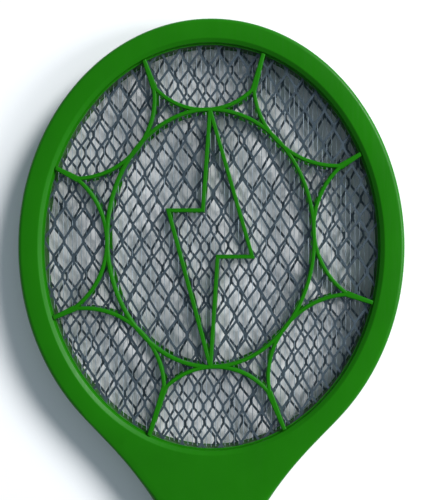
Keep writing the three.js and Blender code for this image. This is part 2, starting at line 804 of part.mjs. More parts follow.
class Coil extends THREE.Curve {
  constructor(startRadius, endRadius, length, turns) {
    super();
    Object.assign(this, { startRadius, endRadius, length, turns });
  }
  getPoint(t, target = new THREE.Vector3()) {
    const radius = THREE.MathUtils.lerp(this.startRadius, this.endRadius, t);
    const angle = 2 * Math.PI * this.turns * t;
    return target.set(radius * Math.cos(angle), radius * Math.sin(angle), this.length * t);
  }
}

function coilSpring(startRadius, endRadius, length, turns) {
  const rise = length - springWire;
  const curve = new Coil(startRadius, endRadius, rise, turns);
  return wire(curve, springWire / 2, turns * 10, 5).translate([0, 0, springWire / 2]);
}

const contactPlate = (width) =>
  block(-width / 2, width / 2, 0, contactThickness, -contactHeight / 2, contactHeight / 2);

function screw() {
  const shank = screwShankRadius - 2 * pilotGap;
  const tip = screwHeadHeight + screwLength - screwTipGap;
  return turned(
    [
      [0, 0],
      [screwHeadRadius - screwHeadChamfer, 0],
      [screwHeadRadius, screwHeadChamferRise],
      [screwHeadRadius, screwHeadHeight],
      [shank, screwHeadHeight],
      [shank, tip - screwTip],
      [0, tip],
    ],
    bossSides,
  );
}

// A resistor or diode: a round body on a bent wire, standing on the board.
function axialPart(bodyRadius, bodyLength) {
  const lead = axialLead;
  const span = bodyLength / 2 + axialLeadReach;
  const height = bodyRadius + axialLift;
  const body = new THREE.CylinderGeometry(bodyRadius, bodyRadius, bodyLength, 12).rotateZ(Math.PI / 2);
  return joined([
    solidFrom(body.translate(0, 0, height)),
    block(-span, span, -lead, lead, height - lead, height + lead),
    block(-span, -span + 2 * lead, -lead, lead, 0, height + lead),
    block(span - 2 * lead, span, -lead, lead, 0, height + lead),
  ]);
}

const core = { width: 15, depth: 6.4, height: 11, leg: 2.2, yoke: 2.4 };

function transformerCore() {
  const { width, depth, height, leg, yoke } = core;
  const windowOuter = width / 2 - leg;
  const windows = [-1, 1].map((side) => {
    const x0 = side > 0 ? leg : -windowOuter;
    return block(x0, x0 + windowOuter - leg, -depth, depth, yoke, height - yoke);
  });
  return block(-width / 2, width / 2, -depth / 2, depth / 2, 0, height).subtract(joined(windows));
}

function transformerWinding() {
  const { width, depth, height, leg, yoke } = core;
  const outerX = width / 2 - leg - fitGap;
  const outerY = depth / 2 + outerX - leg;
  const coil = block(-outerX, outerX, -outerY, outerY, yoke + fitGap, height - yoke - fitGap);
  const hole = block(-leg - fitGap, leg + fitGap, -depth / 2 - fitGap, depth / 2 + fitGap, 0, height);
  return coil.subtract(hole);
}

function storageCapacitor() {
  const width = 15;
  const depth = 7;
  const height = 11;
  const corner = 1.5;
  const shape = new THREE.Shape();
  shape.moveTo(-width / 2 + corner, 0);
  shape.lineTo(width / 2 - corner, 0);
  shape.absarc(width / 2 - corner, corner, corner, -Math.PI / 2, 0);
  shape.lineTo(width / 2, height - corner);
  shape.absarc(width / 2 - corner, height - corner, corner, 0, Math.PI / 2);
  shape.lineTo(-width / 2 + corner, height);
  shape.absarc(-width / 2 + corner, height - corner, corner, Math.PI / 2, Math.PI);
  shape.lineTo(-width / 2, corner);
  shape.absarc(-width / 2 + corner, corner, corner, Math.PI, 1.5 * Math.PI);
  const geometry = new THREE.ExtrudeGeometry(shape, { depth, bevelEnabled: false, curveSegments: 3 });
  return solidFrom(geometry.rotateX(Math.PI / 2).translate(0, depth / 2, 0));
}

function transistor() {
  const r = transistorRadius;
  const [foot, top] = transistorBody;
  const legs = [-transistorPitch, 0, transistorPitch].map((x) =>
    block(x - legHalf, x + legHalf, -legHalf, legHalf, 0, foot + 2 * legHalf),
  );
  const flat = block(-2 * r, 2 * r, -2 * r, -transistorFlat, 0, 2 * top);
  return joined([drum(0, 0, foot, top, r, 16).subtract(flat), ...legs]);
}

// The lamp stands on its legs so that its tip ends just below the window.
function indicatorLed() {
  const foot = windowFootZ - lampToWindow - lampHeight - boardTopZ;
  const legs = [-lampLegX, lampLegX].map((x) =>
    block(x - legHalf, x + legHalf, -legHalf, legHalf, 0, foot + 2 * legHalf),
  );
  const body = turned(
    [
      [0, foot],
      [lampRadius + lampFlange, foot],
      [lampRadius + lampFlange, foot + lampFlangeHeight],
      [lampRadius, foot + lampFlangeHeight],
      [lampRadius, foot + lampStraight],
      [lampTipRadius, foot + lampHeight - lampTipDrop],
      [0, foot + lampHeight],
    ],
    12,
  );
  return joined([body, ...legs]);
}

function indicatorWindow() {
  const top = gripThickness - windowSink;
  return turned(
    [
      [0, windowFootZ],
      [windowRadius + windowLip, windowFootZ],
      [windowRadius + windowLip, windowShelfZ],
      [windowRadius, windowShelfZ],
      [windowRadius, top],
      [windowRadius * 0.6, top + windowDome * 0.7],
      [0, top + windowDome],
    ],
    16,
  );
}

function powerSwitchBody() {
  const half = switchWidth / 2;
  const start = (knobTravel - switchLength) / 2;
  const side = sliderWidth / 2 + sliderGap;
  const end = sliderLength / 2 + sliderGap;
  const pocketFloor = switchHeight - sliderSink - sliderGap;
  const pocket = block(-side, side, -end, knobTravel + end, pocketFloor, switchHeight + 1);
  return block(-half, half, start, start + switchLength, 0, switchHeight).subtract(pocket);
}

// The knob's plate covers the slot from the inside at both ends of its travel.
function powerSwitchKnob() {
  const plateTop = gripThickness - wall - knobPlateDrop;
  const plateFoot = plateTop - knobPlate;
  const top = gripThickness + knobProud;
  const end = (knobLength + 2 * knobTravel + knobPlateSpare) / 2;
  const slider = block(
    -sliderWidth / 2,
    sliderWidth / 2,
    -sliderLength / 2,
    sliderLength / 2,
    boardTopZ + switchHeight - sliderSink,
    plateTop,
  );
  const cover = block(-knobWidth, knobWidth, -end, end, plateFoot, plateTop);
  const thumb = block(-knobWidth / 2, knobWidth / 2, -knobLength / 2, knobLength / 2, plateFoot, top);
  const grooves = [-1, 0, 1].map((step) => {
    const y = step * knobGroovePitch;
    const half = knobGroove / 2;
    return block(-knobWidth, knobWidth, y - half, y + half, top - knobGrooveDepth, top + 1);
  });
  return joined([slider, cover, thumb]).subtract(joined(grooves));
}

function zapSwitchBody() {
  const half = zapSwitchWidth / 2;
  const plunger = drum(0, 0, switchHeight / 2, switchHeight + plungerHeight, plungerRadius, 12);
  return block(-half, half, -half, half, 0, switchHeight).add(plunger);
}

const springSeatZ = boardTopZ + switchHeight + layerGap;
const springTopZ = buttonFlangeTopZ - buttonFlange - layerGap;

function zapButton() {
  const stemFoot = boardTopZ + switchHeight + plungerHeight + buttonTravel + fitGap;
  return turned(
    [
      [0, stemFoot],
      [buttonStemRadius, stemFoot],
      [buttonStemRadius, buttonFlangeTopZ - buttonFlange],
      [buttonRadius + buttonLip, buttonFlangeTopZ - buttonFlange],
      [buttonRadius + buttonLip, buttonFlangeTopZ],
      [buttonRadius, buttonFlangeTopZ],
      [buttonRadius, buttonTopZ - 1],
      [buttonRadius * 0.93, buttonTopZ - 0.35],
      [buttonRadius * 0.6, buttonTopZ],
      [0, buttonTopZ],
    ],
    24,
  );
}

const buttonSpring = () => coilSpring(buttonSpringRadius, buttonSpringRadius, springTopZ - springSeatZ, 5);

function circuitBoard() {
  return block(-boardWidth / 2, boardWidth / 2, boardStartY, boardEndY, boardZ, boardTopZ);
}

// An insulated lead through the points given.
function lead(points, steps) {
  const curve = new THREE.CatmullRomCurve3(points.map(([x, y, z]) => new THREE.Vector3(x, y, z)));
  return wire(curve, leadRadius, steps, 6);
}

// The three leads run from the board up the neck to the tabs. The middle one passes beside the post.
function electrodeLead(tabX, tabZ, boardX, postX) {
  const tabEnd = tabTopY - tabLength - leadRadius;
  const solderZ = boardTopZ + leadRadius + layerGap;
  return lead(
    [
      [boardX, boardEndY - 3.5, solderZ],
      [boardX, boardEndY + 0.5, solderZ],
      [postX, neckPostY, (2 * solderZ + tabZ) / 3],
      [(postX + 2 * tabX) / 3, (neckPostY + tabEnd) / 2, (solderZ + 3 * tabZ) / 4],
      [tabX, tabEnd - 8, tabZ],
      [tabX, tabEnd, tabZ],
    ],
    14,
  );
}

// From a cell's contact through the bulkhead and down to the board.
function cellLead(side) {
  const x = side * cellX;
  const solderZ = boardTopZ + leadRadius + layerGap;
  return lead(
    [
      [x, bulkheadY - 2, leadHoleZ],
      [x, bulkheadY + wall + 1, leadHoleZ],
      [x, rearPostY, leadHoleZ - 2],
      [x, boardStartY, solderZ + 2],
      [x, boardStartY + 4, solderZ],
    ],
    10,
  );
}

// ---- materials ----

const finish = (color, roughness, metalness = 0) =>
  new THREE.MeshStandardMaterial({ color, roughness, metalness });

const green = finish(0x267406, 0.42);
const meshMetal = finish(0x5a6a70, 0.45, 0.9);
const gridMetal = finish(0xa8acae, 0.35, 0.95);
const insulator = finish(0x1d4a10, 0.6);
const steel = finish(0xb8bcc0, 0.35, 1);
const nickel = finish(0xc4c0b4, 0.35, 1);
const boardGreen = finish(0x14532b, 0.6);
const ferrite = finish(0x2c2c30, 0.75);
const tape = finish(0xd8b23a, 0.6);
const capacitorRed = finish(0x8a2a1c, 0.45);
const black = finish(0x17181a, 0.5);
const resistorTan = finish(0xc9a877, 0.6);
const ledRed = finish(0xc21a12, 0.2);
const clearRed = finish(0xd8483c, 0.12);
const knobBlack = finish(0x1c1d1f, 0.5);
const buttonYellow = finish(0xe0b400, 0.4);
const cellWrap = finish(0x20262c, 0.35, 0.3);
const leadRed = finish(0xb01818, 0.5);
const leadBlack = finish(0x141416, 0.5);

// ---- assembly ----

const racket = new THREE.Group();

function add(name, solid, material, place = [0, 0, 0], turn = [0, 0, 0], parent = racket) {
  const mesh = new THREE.Mesh(geometryFrom(solid), material);
  mesh.name = name;
  mesh.position.set(...place);
  mesh.rotation.set(...turn);
  parent.add(mesh);
  return mesh;
}

add("front_frame", frontFrame(), green);
add("rear_frame", rearFrame(), green);
add("battery_cover", batteryCover(), green);

const guard = frontGuard();
add("front_guard", guard, green);
add("rear_guard", mirrored(guard), green);
add("front_mesh", electrodeMesh(frontMeshTurn, -tabSpacing), meshMetal, [0, 0, meshZ]);
const rearMeshZ = headThickness - meshZ - meshThickness;
add("rear_mesh", electrodeMesh(rearMeshTurn, tabSpacing), meshMetal, [0, 0, rearMeshZ]);
add("middle_grid", middleGrid(), gridMetal, [0, 0, headMidZ - gridThickness / 2]);
add("front_spacer", spacer(), insulator, [0, 0, spacerZ]);
add("rear_spacer", spacer(), insulator, [0, 0, headThickness - spacerZ - spacerThickness]);

// The cells lie side by side, head to tail.
const alongY = -Math.PI / 2;
add("battery_1", cell(), cellWrap, [-cellX, cellsStartY + cellSpringLength, cellsZ], [alongY, 0, 0]);
add("battery_2", cell(), cellWrap, [cellX, cellsEndY - cellSpringLength, cellsZ], [-alongY, 0, 0]);
const cellSpring = coilSpring(4, 2.6, cellSpringLength - 2 * layerGap, 3);
add("battery_spring_1", cellSpring, nickel, [-cellX, cellsStartY + layerGap, cellsZ], [alongY, 0, 0]);
add("battery_spring_2", cellSpring, nickel, [cellX, cellsEndY - layerGap, cellsZ], [-alongY, 0, 0]);
add("battery_link_plate", contactPlate(contactWidth + 2 * cellX), nickel, [0, linkPlateY, cellsZ]);
add("positive_contact", contactPlate(contactWidth), nickel, [-cellX, cellsEndY + layerGap, cellsZ]);
add("negative_contact", contactPlate(contactWidth), nickel, [cellX, cellsEndY + layerGap, cellsZ]);

add("positive_lead", cellLead(-1), leadRed);
add("negative_lead", cellLead(1), leadBlack);
const meshMidZ = meshZ + meshThickness / 2;
add("front_mesh_lead", electrodeLead(-tabSpacing, meshMidZ, -8, -9.5), leadRed);
add("middle_grid_lead", electrodeLead(0, headMidZ, 5.5, 6), leadBlack);
add("rear_mesh_lead", electrodeLead(tabSpacing, headThickness - meshMidZ, 10, 10.5), leadRed);

add("circuit_board", circuitBoard(), boardGreen);
const board = new THREE.Group();
board.position.z = boardTopZ;
racket.add(board);
const transformerY = buttonY - transformerToButton;
add("transformer_core", transformerCore(), ferrite, [0, transformerY, 0], [0, 0, 0], board);
add("transformer_winding", transformerWinding(), tape, [0, transformerY, 0], [0, 0, 0], board);
add("zap_switch_body", zapSwitchBody(), black, [0, buttonY, 0], [0, 0, 0], board);
const resistorY = buttonY + resistorToButton;
add("resistor_1", axialPart(1.2, 6.3), resistorTan, [0, resistorY, 0], [0, 0, 0], board);
add("resistor_2", axialPart(1.2, 6.3), resistorTan, [0, resistorY + resistorSpacing, 0], [0, 0, 0], board);
add("power_switch_body", powerSwitchBody(), black, [0, knobY, 0], [0, 0, 0], board);
add("indicator_led", indicatorLed(), ledRed, [0, windowY, 0], [0, 0, 0], board);
add("transistor", transistor(), black, [transistorX, windowY, 0], [0, 0, 0], board);
add("diode_1", axialPart(1.4, 5), black, [0, windowY + diodeToWindow, 0], [0, 0, 0], board);
const capacitorY = windowY + capacitorToWindow;
add("storage_capacitor", storageCapacitor(), capacitorRed, [0, capacitorY, 0], [0, 0, 0], board);

add("indicator_window", indicatorWindow(), clearRed, [0, windowY, 0]);
add("power_switch_knob", powerSwitchKnob(), knobBlack, [0, knobY, 0]);
add("zap_button", zapButton(), buttonYellow, [0, buttonY, 0]);
add("button_spring", buttonSpring(), steel, [0, buttonY, springSeatZ]);

thinScrewPlaces.forEach(([x, y], i) => add(`head_screw_${i + 1}`, screw(), steel, [x, y, headScrewSink]));
postScrewPlaces.forEach(([x, y], i) => add(`handle_screw_${i + 1}`, screw(), steel, [x, y, postScrewSink]));

export default racket;
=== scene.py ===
"""Looks of an electric fly swatter: a moulded oval head with guards over layered expanded-metal electrodes,
and a hollow handle with a button, a slide switch and a lamp. Shapes are worked out in millimetres and made
into metres when a piece is finished.
"""

import math

import bmesh
import bpy
from mathutils import Matrix, Vector, geometry


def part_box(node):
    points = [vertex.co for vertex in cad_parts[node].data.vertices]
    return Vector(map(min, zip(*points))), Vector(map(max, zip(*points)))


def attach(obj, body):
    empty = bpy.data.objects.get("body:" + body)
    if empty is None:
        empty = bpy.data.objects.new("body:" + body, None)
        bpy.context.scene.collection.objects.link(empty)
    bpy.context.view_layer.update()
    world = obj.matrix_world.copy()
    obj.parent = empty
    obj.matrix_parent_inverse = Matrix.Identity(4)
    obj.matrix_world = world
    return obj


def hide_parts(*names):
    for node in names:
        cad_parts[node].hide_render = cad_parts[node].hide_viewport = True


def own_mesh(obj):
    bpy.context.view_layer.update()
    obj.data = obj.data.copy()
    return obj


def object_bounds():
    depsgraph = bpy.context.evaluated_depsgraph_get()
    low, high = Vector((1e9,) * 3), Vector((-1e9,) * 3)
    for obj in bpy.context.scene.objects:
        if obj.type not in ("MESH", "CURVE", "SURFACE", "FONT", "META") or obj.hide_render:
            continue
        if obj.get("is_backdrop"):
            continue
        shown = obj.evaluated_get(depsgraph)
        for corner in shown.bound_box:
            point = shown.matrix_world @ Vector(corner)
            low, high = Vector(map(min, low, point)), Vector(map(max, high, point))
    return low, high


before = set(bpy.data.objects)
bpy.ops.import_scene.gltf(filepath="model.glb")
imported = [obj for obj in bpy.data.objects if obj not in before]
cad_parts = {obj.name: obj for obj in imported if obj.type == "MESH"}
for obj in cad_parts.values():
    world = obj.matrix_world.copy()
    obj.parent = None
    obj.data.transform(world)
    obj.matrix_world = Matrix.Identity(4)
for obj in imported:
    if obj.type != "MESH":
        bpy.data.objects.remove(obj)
cad_low, cad_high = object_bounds()

MM = 0.001
SHARP_ANGLE = math.radians(32)
HARD_EDGE_ANGLE = math.radians(50)


def box_mm(node):
    """A CAD node's lowest and highest corner in millimetres."""
    low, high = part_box(node)
    return low / MM, high / MM


def middle_mm(node):
    """The middle of a CAD node's box in millimetres."""
    low, high = box_mm(node)
    return (low + high) / 2


# ---- sizes, in millimetres ----

guard_low, guard_high = box_mm("front_guard")
cover_high = box_mm("battery_cover")[1]

HEAD_HALF_WIDTH = cad_high.x / MM
HEAD_Y = (guard_low.y + guard_high.y) / 2
HEAD_HALF_LENGTH = cad_high.y / MM - HEAD_Y
HEAD_BOTTOM_Y = HEAD_Y - HEAD_HALF_LENGTH
BUTT_Y = cad_low.y / MM
GUARD_SINK = 0.7
HEAD_TOP_Z = guard_high.z + GUARD_SINK
HEAD_MID_Z = HEAD_TOP_Z / 2
OVAL_GROWTH = HEAD_HALF_LENGTH - HEAD_HALF_WIDTH

RIM_WIDTH = 13.3
RIM_CORNER = 2.4
LIP_WIDTH = 2.6
LIP_DROP = 2.7
LIP_WALL = 0.5
FACET_DROP = 1.2
LIP_ROUND = 0.3
NECK_OVERLAP = 2
WALL = 2
CHANNEL_INSET = 8.6
PARTING_GAP = 0.3
LAYER_INSET = 8.9
FIT_GAP = 0.3
LAYER_GAP = 0.1
REACH = 300

GRIP_WIDTH = 36
GRIP_THICKNESS = 30
BUTT_FLARE = 1.5
BUTT_FLARE_LENGTH = 70
BUTT_ROUND = 10
BUTT_FLAT = 0.72
NECK_LENGTH = 58.5
NECK_JOIN_ANGLE = math.radians(46.8)
NECK_EASE = 25
GRIP_EASE = 44
RAMP_LENGTH = 63
RAMP_TO_HEAD = 18.5
GRIP_POWER = 2.6
GRIP_TOP_Y = HEAD_BOTTOM_Y - NECK_LENGTH
RAMP_TOP_Y = HEAD_BOTTOM_Y - RAMP_TO_HEAD
RAMP_BOTTOM_Y = RAMP_TOP_Y - RAMP_LENGTH
LOFT_SIDES = 72
BUTT_STEPS = 8
GRIP_STEPS = 16
NECK_STEPS = 44
NECK_POINTS = 120
PARTING_CUTS = 119
SMALLEST_CORNER = 0.4

RIB_WIDTH = 2.1
RIB_ROUND = 0.6
RIB_TOP_Z = guard_high.z
RIB_FOOT_Z = guard_low.z
RING_RISE = 4.6
RING_HALF_WIDTH = 55.25
RING_HALF_LENGTH = 68.5
SCALLOP_FEET = [27, 71.5, 113, 157, 200.5, 248.5, 296, 344]
SCALLOP_TOUCHES = [45, 94, 140, 180, 224, 272, 320, 366]
STEM_LENGTHS = [12, 19, 15, 12.5, 11.5, 26, 20.5, 14]
STEM_WIDTH = 3.4
GUARD_GAP = 0.15
HOOP_EDGE = 0.6
BOLT_RISE = 2.5
BOLT_REACH = 22.4
BOLT_WAIST = 3.9
BOLT_STEP = 12.4

DIAMOND_WIDTH = 10.5
DIAMOND_LENGTH = 19
BOND_LENGTH = 2.2
STRAND = 0.95
BOND_SPREAD = 0.25
STRAND_TILT = 0.22
MESH_BORDER = 1.6
FRONT_MESH_TURN = math.radians(-2.6)
REAR_MESH_TURN = math.radians(4.7)
REAR_MESH_SHIFT = 4.2
TAB_X = 12
TAB_HALF = 3.5
TAB_OVERLAP = 1.2
WIRE_PITCH = 2.5
WIRE_RADIUS = 0.15
WIRE_BAND_INSET = LAYER_INSET + 0.3
WIRE_BAND_WIDTH = 3
ROUND_STEPS = 192
DRUM_SIDES = 48
RIB_EDGE_STEPS = 4

GROOVE_COUNT = 11
GROOVE_PITCH = 5
GROOVE_START_Y = -206
GROOVE_END = 5
GROOVE_RADIUS = 1.3
GROOVE_DEPTH = 0.5
THUMB_RIDGES = 7
THUMB_PITCH = 3.2
THUMB_START_Y = -224
THUMB_GROOVE = 0.9
THUMB_RISE = 0.5
THUMB_WIDTH = 20
THUMB_SHORTENING = 2
TONGUE_WIDTH = 14
TONGUE_REACH = 4
TONGUE_ROOT = 8
TONGUE_THICKNESS = 1.4
TONGUE_SOFT = 0.3
TONGUE_GAP = 1.2
COVER_END_Y = cover_high.y - TONGUE_REACH

NUB_RADIUS = 2.7
NUB_LENGTH = 1
SCREW_HEAD_RADIUS = 2.1
SCREW_HEAD_HEIGHT = 1.6
SHANK_RADIUS = 1.05
BOSS_RADIUS = 2.7
BOSS_FOOT = 0.3
REST_WIDTH = 1.6
REST_INSET = 12
SADDLE_INSET = 14
SADDLE_GAP = 0.2
BUTTON_RADIUS = 6.2
BUTTON_LIP = 1.3
BUTTON_DISH = 2.5
BUTTON_FLANGE = 1.3
BUTTON_STEM_RADIUS = 2.2
SPRING_RADIUS = 3.5
SPRING_TURNS = 5
SPRING_WIRE = 0.35
WINDOW_RADIUS = 2.3
WINDOW_LIP = 1
BUTTON_SHELF = 0.7
WINDOW_SHELF = 0.25
THREAD_PITCH = 0.9
THREAD_RISE = 0.18
CROSS_TURN = 0.4
CROSS_LENGTH = 2.6
CROSS_WIDTH = 0.48
CROSS_DEPTH = 0.8
RESISTOR_LENGTH = 6.3
KNOB_WIDTH = 4.6
KNOB_LENGTH = 6.5
KNOB_TRAVEL = 4
KNOB_GROOVES = 4
KNOB_GROOVE_PITCH = 1.35
KNOB_GROOVE_HALF = 0.3
KNOB_GROOVE_DEPTH = 0.55
WELL_MARGIN = 2
WELL_DEPTH = 0.7
WELL_SOFT = 0.6
KNOB_Y = middle_mm("power_switch_knob").y
KNOB_START_Y = KNOB_Y - KNOB_LENGTH / 2
KNOB_END_Y = KNOB_Y + KNOB_LENGTH / 2 + KNOB_TRAVEL


# ---- shared shaping ----

def ease(value):
    t = min(max(value, 0), 1)
    return t * t * (3 - 2 * t)


def mix(a, b, share):
    return a + (b - a) * share


def piece_from(bm, name="part"):
    """An object that holds the bmesh, with its faces pointing out."""
    bmesh.ops.recalc_face_normals(bm, faces=bm.faces[:])
    mesh = bpy.data.meshes.new(name)
    bm.to_mesh(mesh)
    bm.free()
    made = bpy.data.objects.new(name, mesh)
    bpy.context.scene.collection.objects.link(made)
    return made


def settle(piece):
    """Makes the piece's modifiers part of its mesh."""
    graph = bpy.context.evaluated_depsgraph_get()
    mesh = bpy.data.meshes.new_from_object(piece.evaluated_get(graph))
    piece.modifiers.clear()
    piece.data = mesh
    return piece


def combine(piece, operation, *tools):
    """The piece joined with, cut by or kept inside each tool. The tools are used up."""
    for tool in tools:
        change = piece.modifiers.new("combine", "BOOLEAN")
        change.operation = operation
        change.solver = "MANIFOLD"
        change.object = tool
        settle(piece)
        bpy.data.objects.remove(tool)
    return piece


def twin(piece):
    copy = piece.copy()
    copy.data = piece.data.copy()
    bpy.context.scene.collection.objects.link(copy)
    return copy


def mirrored(piece):
    """The same piece seen in the mirror of the head's middle plane."""
    copy = twin(piece)
    copy.data.transform(Matrix.Translation((0, 0, HEAD_TOP_Z)) @ Matrix.Scale(-1, 4, (0, 0, 1)))
    copy.data.flip_normals()
    return copy


def finish(piece, name, body, slot, material, *nodes):
    """Brings a piece to metres, gives it its finish and lets it stand for its CAD nodes."""
    piece.name = name
    piece.data.name = name
    piece.data.transform(Matrix.Scale(MM, 4))
    piece.data.materials.clear()
    piece.data.materials.append(material)
    piece.data.shade_smooth()
    piece.data.set_sharp_from_angle(angle=SHARP_ANGLE)
    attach(piece, body)
    if nodes:
        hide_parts(*nodes)
    return piece


def round_edges(bm, edges, radius, segments=3):
    bmesh.ops.bevel(
        bm, geom=edges, offset=radius, segments=segments, profile=0.5, affect="EDGES", material=-1
    )


def add_bar(bm, radius, top_radius, length, place, sides):
    """A closed round bar or taper, along Z before its place is applied."""
    bmesh.ops.create_cone(
        bm, cap_ends=True, segments=sides, radius1=radius, radius2=top_radius, depth=length, matrix=place
    )


def block(x0, x1, y0, y1, z0, z1, soft=0):
    """A box between the sides given, its edges rounded where soft is given."""
    bm = bmesh.new()
    bmesh.ops.create_cube(bm, size=1)
    bmesh.ops.scale(bm, vec=(x1 - x0, y1 - y0, z1 - z0), verts=bm.verts)
    bmesh.ops.translate(bm, vec=((x0 + x1) / 2, (y0 + y1) / 2, (z0 + z1) / 2), verts=bm.verts)
    if soft:
        round_edges(bm, bm.edges[:], soft)
    return piece_from(bm)


def drum(x, y, z0, z1, radius, top_radius=None, sides=DRUM_SIDES):
    """A round bar along Z, or a taper where a top radius is given."""
    bm = bmesh.new()
    top = radius if top_radius is None else top_radius
    place = Matrix.Translation((x, y, (z0 + z1) / 2))
    add_bar(bm, radius, top, z1 - z0, place, sides)
    return piece_from(bm)


def drum_along_y(x, z, y0, y1, radius):
    bm = bmesh.new()
    place = Matrix.Translation((x, (y0 + y1) / 2, z)) @ Matrix.Rotation(math.pi / 2, 4, "X")
    add_bar(bm, radius, radius, y1 - y0, place, DRUM_SIDES)
    return piece_from(bm)


def flat_profile(bm, corners, rounds):
    """A face in XZ through (x, z) corners. rounds gives the radius of the corners that are rounded."""
    verts = [bm.verts.new((x, 0, z)) for x, z in corners]
    bm.faces.new(verts)
    for index, radius in rounds.items():
        bmesh.ops.bevel(
            bm, geom=[verts[index]], offset=radius, segments=5, profile=0.5, affect="VERTICES", material=-1
        )


def spin_profile(bm, turn, steps, rise=0):
    """Carries the flat profile round the Z axis, and closes the ends of a part turn."""
    bmesh.ops.delete(bm, geom=bm.faces[:], context="FACES_ONLY")
    whole = abs(turn - 2 * math.pi) < 1e-6 and not rise
    bmesh.ops.spin(
        bm, geom=bm.verts[:] + bm.edges[:], cent=(0, 0, 0), axis=(0, 0, 1), dvec=(0, 0, rise / steps),
        angle=turn, steps=steps, use_merge=whole,
    )
    bmesh.ops.remove_doubles(bm, verts=bm.verts[:], dist=1e-4)
    if not whole:
        bmesh.ops.holes_fill(bm, edges=[e for e in bm.edges if e.is_boundary], sides=0)


def turned(corners, rounds=None, sides=64):
    """A body of revolution about Z from (radius, z) corners that start and end on the axis."""
    bm = bmesh.new()
    flat_profile(bm, corners, rounds or {})
    spin_profile(bm, 2 * math.pi, sides)
    return piece_from(bm)


def round_the_head(corners, rounds=None, steps=ROUND_STEPS):
    """A closed profile of (inset, z) corners carried round the head's oval."""
    bm = bmesh.new()
    flat_profile(bm, [(HEAD_HALF_WIDTH - inset, z) for inset, z in corners], rounds or {})
    spin_profile(bm, 2 * math.pi, steps)
    for vert in bm.verts:
        reach = math.hypot(vert.co.x, vert.co.y)
        vert.co.y += OVAL_GROWTH * vert.co.y / reach + HEAD_Y
    return piece_from(bm)


def flat_hoop(outer, inner, z0, z1, steps=ROUND_STEPS):
    """A flat band round the head between two insets."""
    return round_the_head([(outer, z0), (inner, z0), (inner, z1), (outer, z1)], steps=steps)


def head_disc(inset, z0, z1):
    """The head's oval, moved in by inset, as a plate."""
    bm = bmesh.new()
    bmesh.ops.create_cone(bm, cap_ends=True, segments=ROUND_STEPS, radius1=1, radius2=1, depth=1)
    for vert in bm.verts:
        vert.co.x *= HEAD_HALF_WIDTH - inset
        vert.co.y = vert.co.y * (HEAD_HALF_LENGTH - inset) + HEAD_Y
        vert.co.z = z0 if vert.co.z < 0 else z1
    return piece_from(bm)


# ---- the handle's form ----

def mid_z(y):
    return mix(GRIP_THICKNESS / 2, HEAD_MID_Z, ease((y - RAMP_BOTTOM_Y) / RAMP_LENGTH))


def neck_curve():
    """The neck's right edge, from where it leaves the rim down to the grip."""
    start = Vector((
        HEAD_HALF_WIDTH * math.cos(NECK_JOIN_ANGLE),
        HEAD_Y - HEAD_HALF_LENGTH * math.sin(NECK_JOIN_ANGLE),
    ))
    along = Vector((
        -HEAD_HALF_WIDTH * math.sin(NECK_JOIN_ANGLE),
        -HEAD_HALF_LENGTH * math.cos(NECK_JOIN_ANGLE),
    )).normalized()
    end = Vector((GRIP_WIDTH / 2, GRIP_TOP_Y))
    before_end = end + Vector((0, GRIP_EASE))
    return geometry.interpolate_bezier(start, start + along * NECK_EASE, before_end, end, NECK_POINTS)


NECK_EDGE = neck_curve()
NECK_TOP_Y = NECK_EDGE[0].y


def half_width(y):
    if y <= GRIP_TOP_Y:
        return GRIP_WIDTH / 2 + BUTT_FLARE * ease(1 - (y - BUTT_Y) / BUTT_FLARE_LENGTH)
    for above, below in zip(NECK_EDGE, NECK_EDGE[1:]):
        if below.y <= y:
            share = (y - below.y) / (above.y - below.y)
            return mix(below.x, above.x, share)
    return NECK_EDGE[0].x


def oval_point(angle, half, high):
    """A point of the grip's full section."""
    across = math.copysign(abs(math.cos(angle)) ** (2 / GRIP_POWER), math.cos(angle))
    up = math.copysign(abs(math.sin(angle)) ** (2 / GRIP_POWER), math.sin(angle))
    return half * across, high * up


def plate_point(angle, half, high, radius):
    """A point of the neck's flat section, whose corners are round."""
    quarter = math.pi / 2
    folded = abs(math.asin(math.sin(angle))) / quarter
    side_share = 0.25
    top_share = 0.75
    if folded < side_share:
        x, z = half, (high - radius) * folded / side_share
    elif folded > top_share:
        x, z = (half - radius) * (1 - folded) / (1 - top_share), high
    else:
        turn = (folded - side_share) / (top_share - side_share) * quarter
        x, z = half - radius + radius * math.cos(turn), high - radius + radius * math.sin(turn)
    return math.copysign(x, math.cos(angle)), math.copysign(z, math.sin(angle))


def handle_stations(inset):
    """Places along Y, close together where the form turns."""
    start = BUTT_Y + inset
    round_end = BUTT_Y + BUTT_ROUND
    quarter = math.pi / 2
    butt = [round_end - (round_end - start) * math.cos(quarter * i / BUTT_STEPS) for i in range(BUTT_STEPS)]
    grip = [mix(round_end, RAMP_BOTTOM_Y, i / GRIP_STEPS) for i in range(GRIP_STEPS)]
    neck = [mix(RAMP_BOTTOM_Y, NECK_TOP_Y, i / NECK_STEPS) for i in range(NECK_STEPS + 1)]
    return butt + grip + neck


